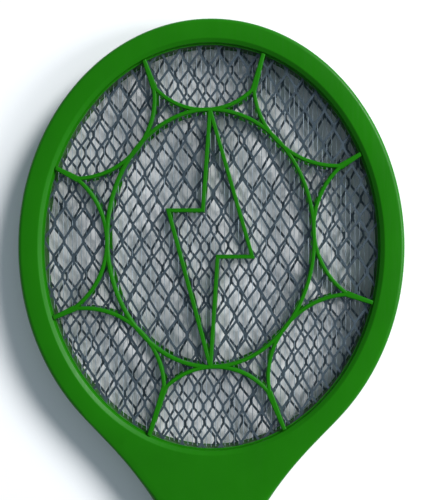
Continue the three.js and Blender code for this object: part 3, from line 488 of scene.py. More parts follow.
def handle_loft(inset):
    """The grip and the neck as one closed form, moved in from the outside by inset."""
    stations = handle_stations(inset)
    bm = bmesh.new()
    along_y = Matrix.Rotation(-math.pi / 2, 4, "X")
    add_bar(bm, 1, 1, 1, along_y, LOFT_SIDES)
    long_edges = [e for e in bm.edges if abs(e.verts[0].co.y - e.verts[1].co.y) > 0.5]
    bmesh.ops.subdivide_edges(bm, edges=long_edges, cuts=len(stations) - 2, use_grid_fill=True)
    for vert in bm.verts:
        y = stations[round((vert.co.y + 0.5) * (len(stations) - 1))]
        from_butt = min((y - BUTT_Y) / BUTT_ROUND, 1)
        scale = BUTT_FLAT + (1 - BUTT_FLAT) * math.sqrt(1 - (1 - from_butt) ** 2)
        half = half_width(y) * scale - inset
        high = mid_z(y) * scale - inset
        angle = math.atan2(vert.co.z, vert.co.x)
        radius = max(RIM_CORNER - inset, SMALLEST_CORNER)
        share = ease((y - GRIP_TOP_Y) / (HEAD_BOTTOM_Y - GRIP_TOP_Y))
        grip_x, grip_z = oval_point(angle, half, high)
        neck_x, neck_z = plate_point(angle, half, high, radius)
        z = mid_z(y) + mix(grip_z, neck_z, share)
        vert.co = (mix(grip_x, neck_x, share), y, z)
    return piece_from(bm)


def half_space(above):
    """Everything above or below the parting surface, which follows the middle of the side view."""
    offset = PARTING_GAP / 2 if above else -PARTING_GAP / 2
    bm = bmesh.new()
    bmesh.ops.create_cube(bm, size=2 * REACH)
    long_edges = [e for e in bm.edges if abs(e.verts[0].co.y - e.verts[1].co.y) > REACH]
    bmesh.ops.subdivide_edges(bm, edges=long_edges, cuts=PARTING_CUTS, use_grid_fill=True)
    for vert in bm.verts:
        if (vert.co.z < 0) == above:
            vert.co.z = mid_z(vert.co.y) + offset
    return piece_from(bm)


# ---- the moulded frames ----

def frame_shell():
    """Both halves as one hollow shell. Its lip slopes down to a short wall round the opening."""
    top = HEAD_TOP_Z
    lip = RIM_WIDTH - LIP_WIDTH
    wall = RIM_WIDTH - LIP_WALL
    rim = round_the_head(
        [
            (0, 0), (lip, 0), (wall, FACET_DROP), (RIM_WIDTH, LIP_DROP), (RIM_WIDTH, top - LIP_DROP),
            (wall, top - FACET_DROP), (lip, top), (0, top),
        ],
        {0: RIM_CORNER, 1: LIP_ROUND, 6: LIP_ROUND, 7: RIM_CORNER},
    )
    channel = round_the_head([
        (WALL, WALL), (CHANNEL_INSET, WALL), (CHANNEL_INSET, LIP_DROP), (RIM_WIDTH + 1, LIP_DROP),
        (RIM_WIDTH + 1, top - LIP_DROP), (CHANNEL_INSET, top - LIP_DROP), (CHANNEL_INSET, top - WALL),
        (WALL, top - WALL),
    ])
    neck = combine(handle_loft(0), "DIFFERENCE", head_disc(lip - NECK_OVERLAP, -1, top + 1))
    shell = combine(rim, "UNION", neck)
    hollow = combine(handle_loft(WALL), "DIFFERENCE", head_disc(CHANNEL_INSET, -1, top + 1))
    return combine(shell, "DIFFERENCE", head_disc(RIM_WIDTH, -1, top + 1), channel, hollow)


def inside(piece):
    """Walls and rests in the handle end in the middle of the moulded wall."""
    return combine(piece, "INTERSECT", handle_loft(WALL / 2))


def grip_grooves(shell):
    """Shallow finger grooves down both sides of the grip."""
    for i in range(GROOVE_COUNT):
        y = GROOVE_START_Y + i * GROOVE_PITCH
        for side in (-1, 1):
            x = side * (half_width(y) + GROOVE_RADIUS - GROOVE_DEPTH)
            groove = drum(x, y, GROOVE_END, GRIP_THICKNESS - GROOVE_END, GROOVE_RADIUS, sides=24)
            combine(shell, "DIFFERENCE", groove)
    return shell


def screw_places():
    """Each screw's name, place along X and Y, and the place of its head along Z."""
    names = [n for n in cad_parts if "screw" in n]
    places = {}
    for name in sorted(names):
        low, high = box_mm(name)
        places[name] = ((low.x + high.x) / 2, (low.y + high.y) / 2, low.z)
    return places


def cell_walls(piece):
    """Walls at both ends of the cells and saddles that the cells lie against."""
    cells_low, cells_high = box_mm("battery_1")
    link_low = box_mm("battery_link_plate")[0]
    contact_high = box_mm("positive_contact")[1]
    cells_z = (cells_low.z + cells_high.z) / 2
    wall_foot = mid_z(BUTT_Y) + PARTING_GAP / 2
    for y in (link_low.y - WALL - LAYER_GAP, contact_high.y + LAYER_GAP):
        wall = block(-GRIP_WIDTH, GRIP_WIDTH, y, y + WALL, wall_foot, GRIP_THICKNESS)
        combine(piece, "UNION", inside(wall))
    for y in (link_low.y + SADDLE_INSET, contact_high.y - SADDLE_INSET):
        saddle_foot = wall_foot + SADDLE_GAP
        saddle = inside(block(-GRIP_WIDTH, GRIP_WIDTH, y, y + REST_WIDTH, saddle_foot, GRIP_THICKNESS))
        for cell in ("battery_1", "battery_2"):
            low, high = box_mm(cell)
            radius = (high.x - low.x) / 2 + FIT_GAP
            middle = (low.x + high.x) / 2
            hollow = drum_along_y(middle, cells_z, y - REST_WIDTH, y + 2 * REST_WIDTH, radius)
            combine(saddle, "DIFFERENCE", hollow)
        combine(piece, "UNION", saddle)


def screw_posts(piece):
    """A post over each screw, with a hole for its shank."""
    for name, (x, y, _) in screw_places().items():
        post_foot = mid_z(y) + PARTING_GAP
        post_top = 2 * mid_z(y) - WALL / 2
        combine(piece, "UNION", drum(x, y, post_foot, post_top, BOSS_RADIUS, BOSS_RADIUS + BOSS_FOOT))
        combine(piece, "DIFFERENCE", drum(x, y, 0, box_mm(name)[1].z + FIT_GAP, SHANK_RADIUS))


def control_openings(piece):
    """Openings for the button, the lamp's window and the switch's knob, each with room for its flange."""
    top, middle = GRIP_THICKNESS, GRIP_THICKNESS / 2
    button_y = middle_mm("zap_button").y
    combine(
        piece, "DIFFERENCE",
        drum(0, button_y, middle, top + REACH, BUTTON_RADIUS + FIT_GAP),
        drum(0, button_y, middle, top - WALL - BUTTON_SHELF, BUTTON_RADIUS + BUTTON_LIP + FIT_GAP),
        drum(0, button_y, top - 1, top + 1, BUTTON_RADIUS - 0.5, BUTTON_RADIUS + BUTTON_DISH),
    )
    window_y = middle_mm("indicator_window").y
    combine(
        piece, "DIFFERENCE",
        drum(0, window_y, middle, top + REACH, WINDOW_RADIUS + FIT_GAP),
        drum(0, window_y, middle, top - WALL - WINDOW_SHELF, WINDOW_RADIUS + WINDOW_LIP + FIT_GAP),
    )
    slot_x = KNOB_WIDTH / 2 + FIT_GAP
    well_x = KNOB_WIDTH / 2 + WELL_MARGIN
    combine(
        piece, "DIFFERENCE",
        block(-slot_x, slot_x, KNOB_START_Y - FIT_GAP, KNOB_END_Y + FIT_GAP, middle + 1, top + 10),
        block(
            -well_x, well_x, KNOB_START_Y - WELL_MARGIN, KNOB_END_Y + WELL_MARGIN, top - WELL_DEPTH, top + 10,
            soft=WELL_SOFT,
        ),
    )


def front_frame(shell):
    """The front half: cell walls, screw posts, and openings for the button, the switch and the lamp."""
    piece = combine(twin(shell), "INTERSECT", half_space(True))
    cell_walls(piece)
    screw_posts(piece)
    control_openings(piece)
    return piece


def screw_recesses(piece, places):
    """A hole for each screw's shank, a wider one for its head, and a chamfer round the mouth."""
    for x, y, foot in places:
        combine(
            piece, "DIFFERENCE",
            drum(x, y, -1, GRIP_THICKNESS, SHANK_RADIUS + FIT_GAP),
            drum(x, y, -1, foot + SCREW_HEAD_HEIGHT, SCREW_HEAD_RADIUS + FIT_GAP),
            drum(x, y, -0.5, 0.5, SCREW_HEAD_RADIUS + 1.1, SCREW_HEAD_RADIUS + 0.1),
        )


def rear_frame(shell):
    """The rear half, in front of the battery cover, with its screw posts and the board's rests."""
    piece = combine(twin(shell), "INTERSECT", half_space(False))
    places = list(screw_places().values())
    for x, y, _ in places:
        post_top = mid_z(y) - PARTING_GAP
        combine(piece, "UNION", drum(x, y, WALL / 2, post_top, BOSS_RADIUS + 1, BOSS_RADIUS + 0.6))
    board_low, board_high = box_mm("circuit_board")
    for y in (board_low.y + REST_INSET, board_high.y - REST_INSET):
        rest = block(-GRIP_WIDTH, GRIP_WIDTH, y, y + REST_WIDTH, 0, board_low.z - LAYER_GAP)
        combine(piece, "UNION", inside(rest))
    screw_recesses(piece, places)
    handle = block(-REACH, REACH, -REACH, COVER_END_Y + PARTING_GAP / 2, -REACH, REACH)
    half = TONGUE_WIDTH / 2 + FIT_GAP
    pocket = block(-half, half, COVER_END_Y, COVER_END_Y + TONGUE_REACH + FIT_GAP, WALL, GRIP_THICKNESS / 2)
    return combine(piece, "DIFFERENCE", handle, pocket)


def battery_cover(shell):
    """The back of the handle over the cells, with thumb ridges and the tongue that holds its front end."""
    piece = combine(twin(shell), "INTERSECT", half_space(False))
    combine(piece, "INTERSECT", block(-REACH, REACH, -REACH, COVER_END_Y - PARTING_GAP / 2, -REACH, REACH))
    half = TONGUE_WIDTH / 2
    underside = WALL + FIT_GAP
    start = COVER_END_Y - TONGUE_ROOT
    tip = COVER_END_Y + TONGUE_REACH
    combine(
        piece, "UNION",
        block(-half, half, start, COVER_END_Y - TONGUE_GAP, WALL / 2, underside + FIT_GAP),
        block(-half, half, start + LAYER_GAP, tip, underside, underside + TONGUE_THICKNESS, soft=TONGUE_SOFT),
    )
    for i in range(THUMB_RIDGES):
        combine(piece, "DIFFERENCE", thumb_groove(i))
    return piece


def thumb_groove(index):
    """A cross groove for the thumb. The middle one is the longest."""
    y = THUMB_START_Y + index * THUMB_PITCH
    from_middle = abs(index - (THUMB_RIDGES - 1) / 2)
    place = Matrix.Translation((0, y, THUMB_RISE - THUMB_GROOVE)) @ Matrix.Rotation(math.pi / 2, 4, "Y")
    bm = bmesh.new()
    add_bar(bm, THUMB_GROOVE, THUMB_GROOVE, THUMB_WIDTH - from_middle * THUMB_SHORTENING, place, 24)
    return piece_from(bm)


# ---- guards ----

def rib_profile(bm, middle, z0, z1):
    """The section of a rib at a distance from the turning axis. Its front edges are round."""
    inner, outer = middle - RIB_WIDTH / 2, middle + RIB_WIDTH / 2
    flat_profile(bm, [(inner, z0), (outer, z0), (outer, z1), (inner, z1)], {2: RIB_ROUND, 3: RIB_ROUND})


def guard_ring(z0, z1):
    bm = bmesh.new()
    rib_profile(bm, RING_HALF_WIDTH, z0, z1)
    spin_profile(bm, 2 * math.pi, 144)
    for vert in bm.verts:
        reach = math.hypot(vert.co.x, vert.co.y)
        vert.co.y += (RING_HALF_LENGTH - RING_HALF_WIDTH) * vert.co.y / reach + HEAD_Y + RING_RISE
    return piece_from(bm)


def circle_through(a, b, c):
    """The centre of the circle through three points."""
    ab, ac = b - a, c - a
    twice = 2 * ab.cross(ac)
    x = (ac.y * ab.length_squared - ab.y * ac.length_squared) / twice
    y = (ab.x * ac.length_squared - ac.x * ab.length_squared) / twice
    return a + Vector((x, y))


def scallop(start, touch, end, z0, z1):
    """A rib along the arc from one stem, past the ring, to the next stem."""
    centre = circle_through(start, touch, end)
    middle = (touch - centre).angle_signed(Vector((1, 0)))
    turns = []
    for point in (start, end):
        angle = (point - centre).angle_signed(Vector((1, 0)))
        turns.append(math.remainder(angle - middle, 2 * math.pi))
    bm = bmesh.new()
    rib_profile(bm, (touch - centre).length, z0, z1)
    spin_profile(bm, turns[1] - turns[0], 40)
    bmesh.ops.rotate(bm, cent=(0, 0, 0), matrix=Matrix.Rotation(middle + turns[0], 3, "Z"), verts=bm.verts)
    bmesh.ops.translate(bm, vec=(centre.x, centre.y, 0), verts=bm.verts)
    return piece_from(bm)


def stem(inner, outer, z0, z1):
    """The short rib that carries two scallops to the rim, wide where they part."""
    along = outer - inner
    bm = bmesh.new()
    bmesh.ops.create_cube(bm, size=1)
    bmesh.ops.scale(bm, vec=(along.length, 1, z1 - z0), verts=bm.verts)
    for vert in bm.verts:
        vert.co.y *= STEM_WIDTH if vert.co.x < 0 else RIB_WIDTH
    long_top = [e for e in bm.edges if all(v.co.z > 0 for v in e.verts)]
    round_edges(bm, long_top, RIB_ROUND, RIB_EDGE_STEPS)
    turn = Matrix.Rotation(math.atan2(along.y, along.x), 3, "Z")
    bmesh.ops.rotate(bm, cent=(0, 0, 0), matrix=turn, verts=bm.verts)
    middle = (inner + outer) / 2
    bmesh.ops.translate(bm, vec=(middle.x, middle.y, (z0 + z1) / 2), verts=bm.verts)
    return piece_from(bm)


def ring_disc(z0, z1):
    """Everything inside the ring's middle line."""
    bm = bmesh.new()
    bmesh.ops.create_cone(bm, cap_ends=True, segments=144, radius1=1, radius2=1, depth=z1 - z0)
    bmesh.ops.scale(bm, vec=(RING_HALF_WIDTH, RING_HALF_LENGTH, 1), verts=bm.verts)
    bmesh.ops.translate(bm, vec=(0, HEAD_Y + RING_RISE, (z0 + z1) / 2), verts=bm.verts)
    return piece_from(bm)


def bolt(z0, z1):
    """The lightning-bolt outline: ribs of even width with mitred corners."""
    ring_y = HEAD_Y + RING_RISE
    y = ring_y + BOLT_RISE
    corners = [
        (0, ring_y + RING_HALF_LENGTH), (-BOLT_WAIST, y + BOLT_STEP), (-BOLT_REACH, y + BOLT_STEP),
        (0, ring_y - RING_HALF_LENGTH), (BOLT_WAIST, y - BOLT_STEP), (BOLT_REACH, y - BOLT_STEP),
    ]
    bm = bmesh.new()
    face = bm.faces.new([bm.verts.new((x, corner_y, z0)) for x, corner_y in corners])
    bm.normal_update()
    bmesh.ops.inset_individual(bm, faces=[face], thickness=-RIB_WIDTH / 2, use_even_offset=True)
    bmesh.ops.delete(bm, geom=[v for v in bm.verts if v not in face.verts[:]], context="VERTS")
    bmesh.ops.inset_individual(bm, faces=[face], thickness=RIB_WIDTH, use_even_offset=True)
    bmesh.ops.delete(bm, geom=[face], context="FACES_ONLY")
    bmesh.ops.solidify(bm, geom=bm.faces[:], thickness=z1 - z0)
    bmesh.ops.recalc_face_normals(bm, faces=bm.faces[:])
    low = min(v.co.z for v in bm.verts)
    bmesh.ops.translate(bm, vec=(0, 0, z0 - low), verts=bm.verts)
    top_edges = [
        e for e in bm.edges
        if all(v.co.z > z1 - 0.01 for v in e.verts) and e.calc_face_angle(0) > 1
    ]
    round_edges(bm, top_edges, RIB_ROUND, RIB_EDGE_STEPS)
    return combine(piece_from(bm), "INTERSECT", ring_disc(z0 - 1, z1 + 1))


def front_guard():
    z0, z1 = RIB_FOOT_Z, RIB_TOP_Z
    head_middle = Vector((0, HEAD_Y))

    def foot(degrees):
        angle = math.radians(degrees)
        return head_middle + Vector((
            (HEAD_HALF_WIDTH - RIM_WIDTH) * math.cos(angle),
            (HEAD_HALF_LENGTH - RIM_WIDTH) * math.sin(angle),
        ))

    def touch(degrees):
        angle = math.radians(degrees)
        return Vector((
            RING_HALF_WIDTH * math.cos(angle),
            HEAD_Y + RING_RISE + RING_HALF_LENGTH * math.sin(angle),
        ))

    ribs = guard_ring(z0, z1)
    combine(ribs, "UNION", bolt(z0, z1))
    feet = [foot(degrees) for degrees in SCALLOP_FEET]
    partings = [f + (head_middle - f).normalized() * length for f, length in zip(feet, STEM_LENGTHS)]
    for i, degrees in enumerate(SCALLOP_TOUCHES):
        following = (i + 1) % len(partings)
        outward = (feet[i] - head_middle).normalized()
        combine(
            ribs, "UNION",
            scallop(partings[i], touch(degrees), partings[following], z0, z1),
            stem(partings[i] - outward * STEM_WIDTH / 3, feet[i] + outward * 2, z0, z1),
        )
    combine(ribs, "INTERSECT", head_disc(RIM_WIDTH + GUARD_GAP, z0 - 1, z1 + 1))
    hoop_top = HEAD_TOP_Z - LIP_DROP - LAYER_GAP
    hoop_inner = RIM_WIDTH + HOOP_EDGE
    return combine(ribs, "UNION", flat_hoop(LAYER_INSET, hoop_inner, z0, hoop_top))


# ---- electrodes ----

def diamond_unit(bm):
    """One opening of the expanded sheet, about the origin, with half of each strand and bond round it."""
    half_w, half_l, bond = DIAMOND_WIDTH / 2, DIAMOND_LENGTH / 2, BOND_LENGTH / 2
    outline = [
        (0, half_l - bond), (-half_w, bond), (-half_w, -bond),
        (0, bond - half_l), (half_w, -bond), (half_w, bond),
    ]
    face = bm.faces.new([bm.verts.new((x, y, 0)) for x, y in outline])
    bm.normal_update()
    bmesh.ops.inset_individual(bm, faces=[face], thickness=STRAND / 2, use_even_offset=True)
    for vert in face.verts:
        side = 0 if abs(vert.co.x) < 0.1 else math.copysign(1, vert.co.x)
        vert.co.x -= side * BOND_SPREAD
        vert.co.z = -side * STRAND_TILT
    bmesh.ops.delete(bm, geom=[face], context="FACES_ONLY")


def solder_tab(x, low, high):
    """A tab that reaches from an electrode's band down into the neck."""
    return block(x - TAB_HALF, x + TAB_HALF, low.y, HEAD_BOTTOM_Y + LAYER_INSET + TAB_OVERLAP, low.z, high.z)


def expanded_sheet(node, turn, tab_x, shift=0):
    """Strands, bonds and diamond openings over the whole oval, with a flat border and a solder tab.
    The rows are moved sideways by shift.
    """
    low, high = box_mm(node)
    thickness = high.z - low.z
    middle = (low.z + high.z) / 2
    bm = bmesh.new()
    diamond_unit(bm)
    unit = bm.verts[:] + bm.edges[:] + bm.faces[:]
    bmesh.ops.translate(bm, vec=(shift, 0, 0), verts=bm.verts)
    rows = math.ceil(HEAD_HALF_LENGTH / DIAMOND_LENGTH * 2) + 1
    columns = math.ceil(HEAD_HALF_WIDTH / DIAMOND_WIDTH) + 2
    spin = Matrix.Rotation(turn, 4, "Z")
    border = LAYER_INSET + MESH_BORDER
    for row in range(-rows, rows + 1):
        for column in range(-columns, columns + 1):
            if row == 0 and column == 0:
                continue
            x = (column + (row % 2) / 2) * DIAMOND_WIDTH
            y = row * DIAMOND_LENGTH / 2
            place = spin @ Vector((x + shift, y, 0))
            near_x = place.x / (HEAD_HALF_WIDTH - border + DIAMOND_WIDTH)
            near_y = place.y / (HEAD_HALF_LENGTH - border + DIAMOND_LENGTH)
            if near_x ** 2 + near_y ** 2 > 1:
                continue
            copied = bmesh.ops.duplicate(bm, geom=unit)["geom"]
            verts = [g for g in copied if isinstance(g, bmesh.types.BMVert)]
            bmesh.ops.translate(bm, vec=(x, y, 0), verts=verts)
    bmesh.ops.remove_doubles(bm, verts=bm.verts[:], dist=1e-3)
    bmesh.ops.rotate(bm, cent=(0, 0, 0), matrix=Matrix.Rotation(turn, 3, "Z"), verts=bm.verts)
    bmesh.ops.translate(bm, vec=(0, HEAD_Y, middle - thickness / 2), verts=bm.verts)
    for face in bm.faces:
        if face.normal.z < 0:
            face.normal_flip()
    bmesh.ops.solidify(bm, geom=bm.faces[:], thickness=-thickness)
    field = piece_from(bm)
    combine(field, "INTERSECT", head_disc(border - 0.4, low.z - 2, high.z + 2))
    rim = flat_hoop(LAYER_INSET, border, low.z, high.z, steps=96)
    return combine(field, "UNION", rim, solder_tab(tab_x, low, high))


def wire_grid():
    """The live electrode: fine parallel wires welded to a flat band."""
    low, high = box_mm("middle_grid")
    middle = (low.z + high.z) / 2
    band = flat_hoop(WIRE_BAND_INSET, WIRE_BAND_INSET + WIRE_BAND_WIDTH, low.z, high.z)
    combine(band, "UNION", solder_tab(0, low, high))
    half_field = HEAD_HALF_WIDTH - WIRE_BAND_INSET - 2
    half_length = HEAD_HALF_LENGTH - WIRE_BAND_INSET - 1.5
    along_y = Matrix.Rotation(math.pi / 2, 4, "X")
    count = 2 * int(half_field / WIRE_PITCH)
    wires = bmesh.new()
    for i in range(count + 1):
        x = (i - count / 2) * WIRE_PITCH
        length = 2 * half_length * math.sqrt(1 - (x / (half_field + 0.5)) ** 2)
        place = Matrix.Translation((x, HEAD_Y, middle)) @ along_y
        add_bar(wires, WIRE_RADIUS, WIRE_RADIUS, length, place, 8)
    return combine(band, "UNION", piece_from(wires))


# ---- the controls ----

def zap_button():
    """A dished button on a flange and a stem."""
    low, high = box_mm("zap_button")
    top, r, stem_radius = high.z, BUTTON_RADIUS, BUTTON_STEM_RADIUS
    flange = GRIP_THICKNESS - WALL - 1
    underside = flange - BUTTON_FLANGE
    lip = r + BUTTON_LIP
    piece = turned(
        [
            (0, low.z), (stem_radius, low.z), (stem_radius, underside), (lip, underside), (lip, flange),
            (r, flange), (r, top), (r - 1.4, top), (r - 2.1, top - 0.45), (0, top - 0.8),
        ],
        {6: 0.7, 7: 0.4},
        sides=72,
    )
    piece.data.transform(Matrix.Translation((0, (low.y + high.y) / 2, 0)))
    return piece


def button_spring():
    """A wire circle carried round and up in even turns."""
    low, high = box_mm("button_spring")
    bm = bmesh.new()
    place = Matrix.Translation((SPRING_RADIUS, 0, 0)) @ Matrix.Rotation(math.pi / 2, 4, "X")
    bmesh.ops.create_circle(bm, segments=8, radius=SPRING_WIRE, matrix=place)
    spin_profile(bm, 2 * math.pi * SPRING_TURNS, 24 * SPRING_TURNS, rise=high.z - low.z - 2 * SPRING_WIRE)
    bmesh.ops.translate(bm, vec=(0, (low.y + high.y) / 2, low.z + SPRING_WIRE), verts=bm.verts)
    return piece_from(bm)


def switch_knob():
    """The slide switch's thumb piece with cross ridges, over a plate that closes its slot."""
    low, high = box_mm("power_switch_knob")
    plate_top = GRIP_THICKNESS - WALL - 0.7
    piece = block(
        -KNOB_WIDTH / 2, KNOB_WIDTH / 2, KNOB_START_Y, KNOB_START_Y + KNOB_LENGTH,
        plate_top - 0.5, high.z, soft=0.5,
    )
    half = KNOB_GROOVE_HALF
    floor_z = high.z - KNOB_GROOVE_DEPTH
    for i in range(KNOB_GROOVES):
        y = KNOB_Y + (i - (KNOB_GROOVES - 1) / 2) * KNOB_GROOVE_PITCH
        combine(piece, "DIFFERENCE", block(-KNOB_WIDTH, KNOB_WIDTH, y - half, y + half, floor_z, high.z + 1))
    combine(
        piece, "UNION",
        block(-KNOB_WIDTH, KNOB_WIDTH, low.y, high.y, plate_top - 1.2, plate_top),
        block(-1.5, 1.5, KNOB_Y - 1.8, KNOB_Y + 1.8, low.z, plate_top - 1),
    )
    return piece


def indicator_window():
    """A small domed window on a flange that holds it from inside."""
    low, high = box_mm("indicator_window")
    r = WINDOW_RADIUS
    lip = r + WINDOW_LIP
    shelf = low.z + 1
    piece = turned(
        [
            (0, low.z), (lip, low.z), (lip, shelf), (r, shelf), (r, high.z - 0.7),
            (r * 0.6, high.z - 0.15), (0, high.z),
        ],
        {4: 0.4, 5: 0.4},
        sides=48,
    )
    piece.data.transform(Matrix.Translation((0, (low.y + high.y) / 2, 0)))
    return piece


def screw(name, x, y, foot):
    """A pan-head screw, seen from the back: a domed head with a cross recess and a threaded shank."""
    high = box_mm(name)[1].z
    r, shank = SCREW_HEAD_RADIUS, SHANK_RADIUS - 0.15
    neck = foot + SCREW_HEAD_HEIGHT
    thread = [(0, foot), (r - 0.7, foot), (r, foot + 0.7), (r, neck), (shank, neck)]
    z = neck + 0.5
    while z < high - 2 * THREAD_PITCH:
        thread += [(shank, z), (shank + THREAD_RISE, z + THREAD_PITCH / 2)]
        z += THREAD_PITCH
    thread += [(shank, z), (0.2, high), (0, high)]
    piece = turned(thread, {1: 0.5}, sides=24)
    for turn in (CROSS_TURN, CROSS_TURN + math.pi / 2):
        reach, half = CROSS_LENGTH / 2, CROSS_WIDTH / 2
        arm = block(-reach, reach, -half, half, foot - 1, foot + CROSS_DEPTH)
        arm.data.transform(Matrix.Rotation(turn, 4, "Z"))
        combine(piece, "DIFFERENCE", arm)
    piece.data.transform(Matrix.Translation((x, y, 0)))
    return piece


# ---- what the handle holds ----

def softened(node, width):
    """A node's own form with its hard edges rounded."""
    bm = bmesh.new()
    bm.from_mesh(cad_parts[node].data)
    bmesh.ops.scale(bm, vec=(1 / MM, 1 / MM, 1 / MM), verts=bm.verts)
    bmesh.ops.remove_doubles(bm, verts=bm.verts[:], dist=1e-3)
    limit = math.radians(1)
    bmesh.ops.dissolve_limit(bm, angle_limit=limit, verts=bm.verts[:], edges=bm.edges[:])
    hard = [e for e in bm.edges if e.calc_face_angle(0) > HARD_EDGE_ANGLE]
    bmesh.ops.bevel(
        bm, geom=hard, offset=width, segments=3, profile=0.5, affect="EDGES", material=-1, clamp_overlap=True
    )
    return piece_from(bm)


def battery(node):
    """A cell in its wrap: rolled ends, a flat base and a nub."""
    low, high = box_mm(node)
    forward = node == "battery_1"
    radius = (high.x - low.x) / 2
    length = high.y - low.y
    shoulder = length - NUB_LENGTH - 0.4
    piece = turned(
        [
            (0, 0.35), (radius - 2, 0.35), (radius - 1.6, 0), (radius, 0), (radius, shoulder),
            (radius - 1.3, shoulder), (radius - 1.6, length - NUB_LENGTH), (NUB_RADIUS, length - NUB_LENGTH),
            (NUB_RADIUS, length), (0, length),
        ],
        {3: 0.7, 4: 0.6, 8: 0.4},
        sides=64,
    )
    turn = -math.pi / 2 if forward else math.pi / 2
    start = low.y if forward else high.y
    place = Matrix.Translation(((low.x + high.x) / 2, start, (low.z + high.z) / 2))
    piece.data.transform(place @ Matrix.Rotation(turn, 4, "X"))
    return piece


# ---- finishes ----

def blank(name):
    """A new material with its node tree, its shader and the piece's own coordinates."""
    material = bpy.data.materials.new(name)
    material.use_nodes = True
    tree = material.node_tree
    coords = tree.nodes.new("ShaderNodeTexCoord").outputs["Object"]
    return material, tree, tree.nodes["Principled BSDF"], coords


def mapped(tree, coords, scale, turn=(0, 0, 0)):
    mapping = tree.nodes.new("ShaderNodeMapping")
    mapping.inputs["Scale"].default_value = scale
    mapping.inputs["Rotation"].default_value = turn
    tree.links.new(coords, mapping.inputs["Vector"])
    return mapping.outputs["Vector"]


def noise(tree, coords, scale, detail=3.0):
    made = tree.nodes.new("ShaderNodeTexNoise")
    made.inputs["Scale"].default_value = scale
    made.inputs["Detail"].default_value = detail
    tree.links.new(coords, made.inputs["Vector"])
    return made.outputs["Fac"]


def spread(tree, value, low, high, start=0.3, end=0.7):
    """The value carried from start..end to low..high."""
    made = tree.nodes.new("ShaderNodeMapRange")
    made.inputs["From Min"].default_value = start
    made.inputs["From Max"].default_value = end
    made.inputs["To Min"].default_value = low
    made.inputs["To Max"].default_value = high
    tree.links.new(value, made.inputs["Value"])
    return made.outputs["Result"]


def ramp(tree, value, stops, interpolation="LINEAR"):
    made = tree.nodes.new("ShaderNodeValToRGB")
    made.color_ramp.interpolation = interpolation
    elements = made.color_ramp.elements
    while len(elements) < len(stops):
        elements.new(0.5)
    for element, (place, colour) in zip(elements, stops):
        element.position = place
        element.color = (*colour, 1)
    tree.links.new(value, made.inputs["Fac"])
    return made.outputs["Color"]


def bump(tree, shader, height, strength, distance):
    made = tree.nodes.new("ShaderNodeBump")
    made.inputs["Strength"].default_value = strength
    made.inputs["Distance"].default_value = distance
    tree.links.new(height, made.inputs["Height"])
    tree.links.new(made.outputs["Normal"], shader.inputs["Normal"])


def scaled(colour, factor):
    return tuple(min(channel * factor, 1) for channel in colour)


def moulded(name, colour, rough=0.4, mottle=0.08, grain=0.12, scuff=0.06, gloss=0.35):
    """Moulded plastic: slightly uneven colour, a fine spark-eroded grain and faint scuffs."""
    material, tree, shader, coords = blank(name)
    clouds = noise(tree, coords, 26, detail=5)
    tint = ramp(tree, clouds, [(0.3, scaled(colour, 1 - mottle)), (0.7, scaled(colour, 1 + mottle))])
    tree.links.new(tint, shader.inputs["Base Color"])
    scratches = noise(tree, mapped(tree, coords, (900, 60, 300), (0, 0, 0.6)), 1, detail=2)
    tree.links.new(spread(tree, scratches, rough - scuff, rough + scuff), shader.inputs["Roughness"])
    fine = noise(tree, coords, 2400, detail=2)
    bump(tree, shader, fine, grain, 0.00006)
    shader.inputs["IOR"].default_value = 1.49
    shader.inputs["Specular IOR Level"].default_value = gloss
    return material


def metal(name, colour, rough=0.4, metallic=1.0, mottle=0.25, brushed=(500, 500, 500), depth=0.12):
    """Metal with a drawn or rolled texture and a little dulling."""
    material, tree, shader, coords = blank(name)
    dull = noise(tree, coords, 180, detail=5)
    tint = ramp(tree, dull, [(0.3, scaled(colour, 1 - mottle)), (0.7, scaled(colour, 1 + mottle))])
    tree.links.new(tint, shader.inputs["Base Color"])
    streaks = noise(tree, mapped(tree, coords, brushed), 1, detail=3)
    tree.links.new(spread(tree, streaks, rough - 0.1, rough + 0.12), shader.inputs["Roughness"])
    bump(tree, shader, streaks, depth, 0.00004)
    shader.inputs["Metallic"].default_value = metallic
    return material


def coated_lead(name, colour):
    material, tree, shader, coords = blank(name)
    streaks = noise(tree, mapped(tree, coords, (900, 120, 900)), 1, detail=2)
    tint = ramp(tree, streaks, [(0.3, scaled(colour, 0.8)), (0.7, scaled(colour, 1.15))])
    tree.links.new(tint, shader.inputs["Base Color"])
    tree.links.new(spread(tree, streaks, 0.42, 0.6), shader.inputs["Roughness"])
    bump(tree, shader, streaks, 0.1, 0.00003)
    return material


def position_along(tree, coords, axis, start, end):
    """0 at start and 1 at end, in millimetres along an axis."""
    split = tree.nodes.new("ShaderNodeSeparateXYZ")
    tree.links.new(coords, split.inputs["Vector"])
    made = tree.nodes.new("ShaderNodeMapRange")
    made.inputs["From Min"].default_value = start * MM
    made.inputs["From Max"].default_value = end * MM
    tree.links.new(split.outputs[axis], made.inputs["Value"])
    return made.outputs["Result"]


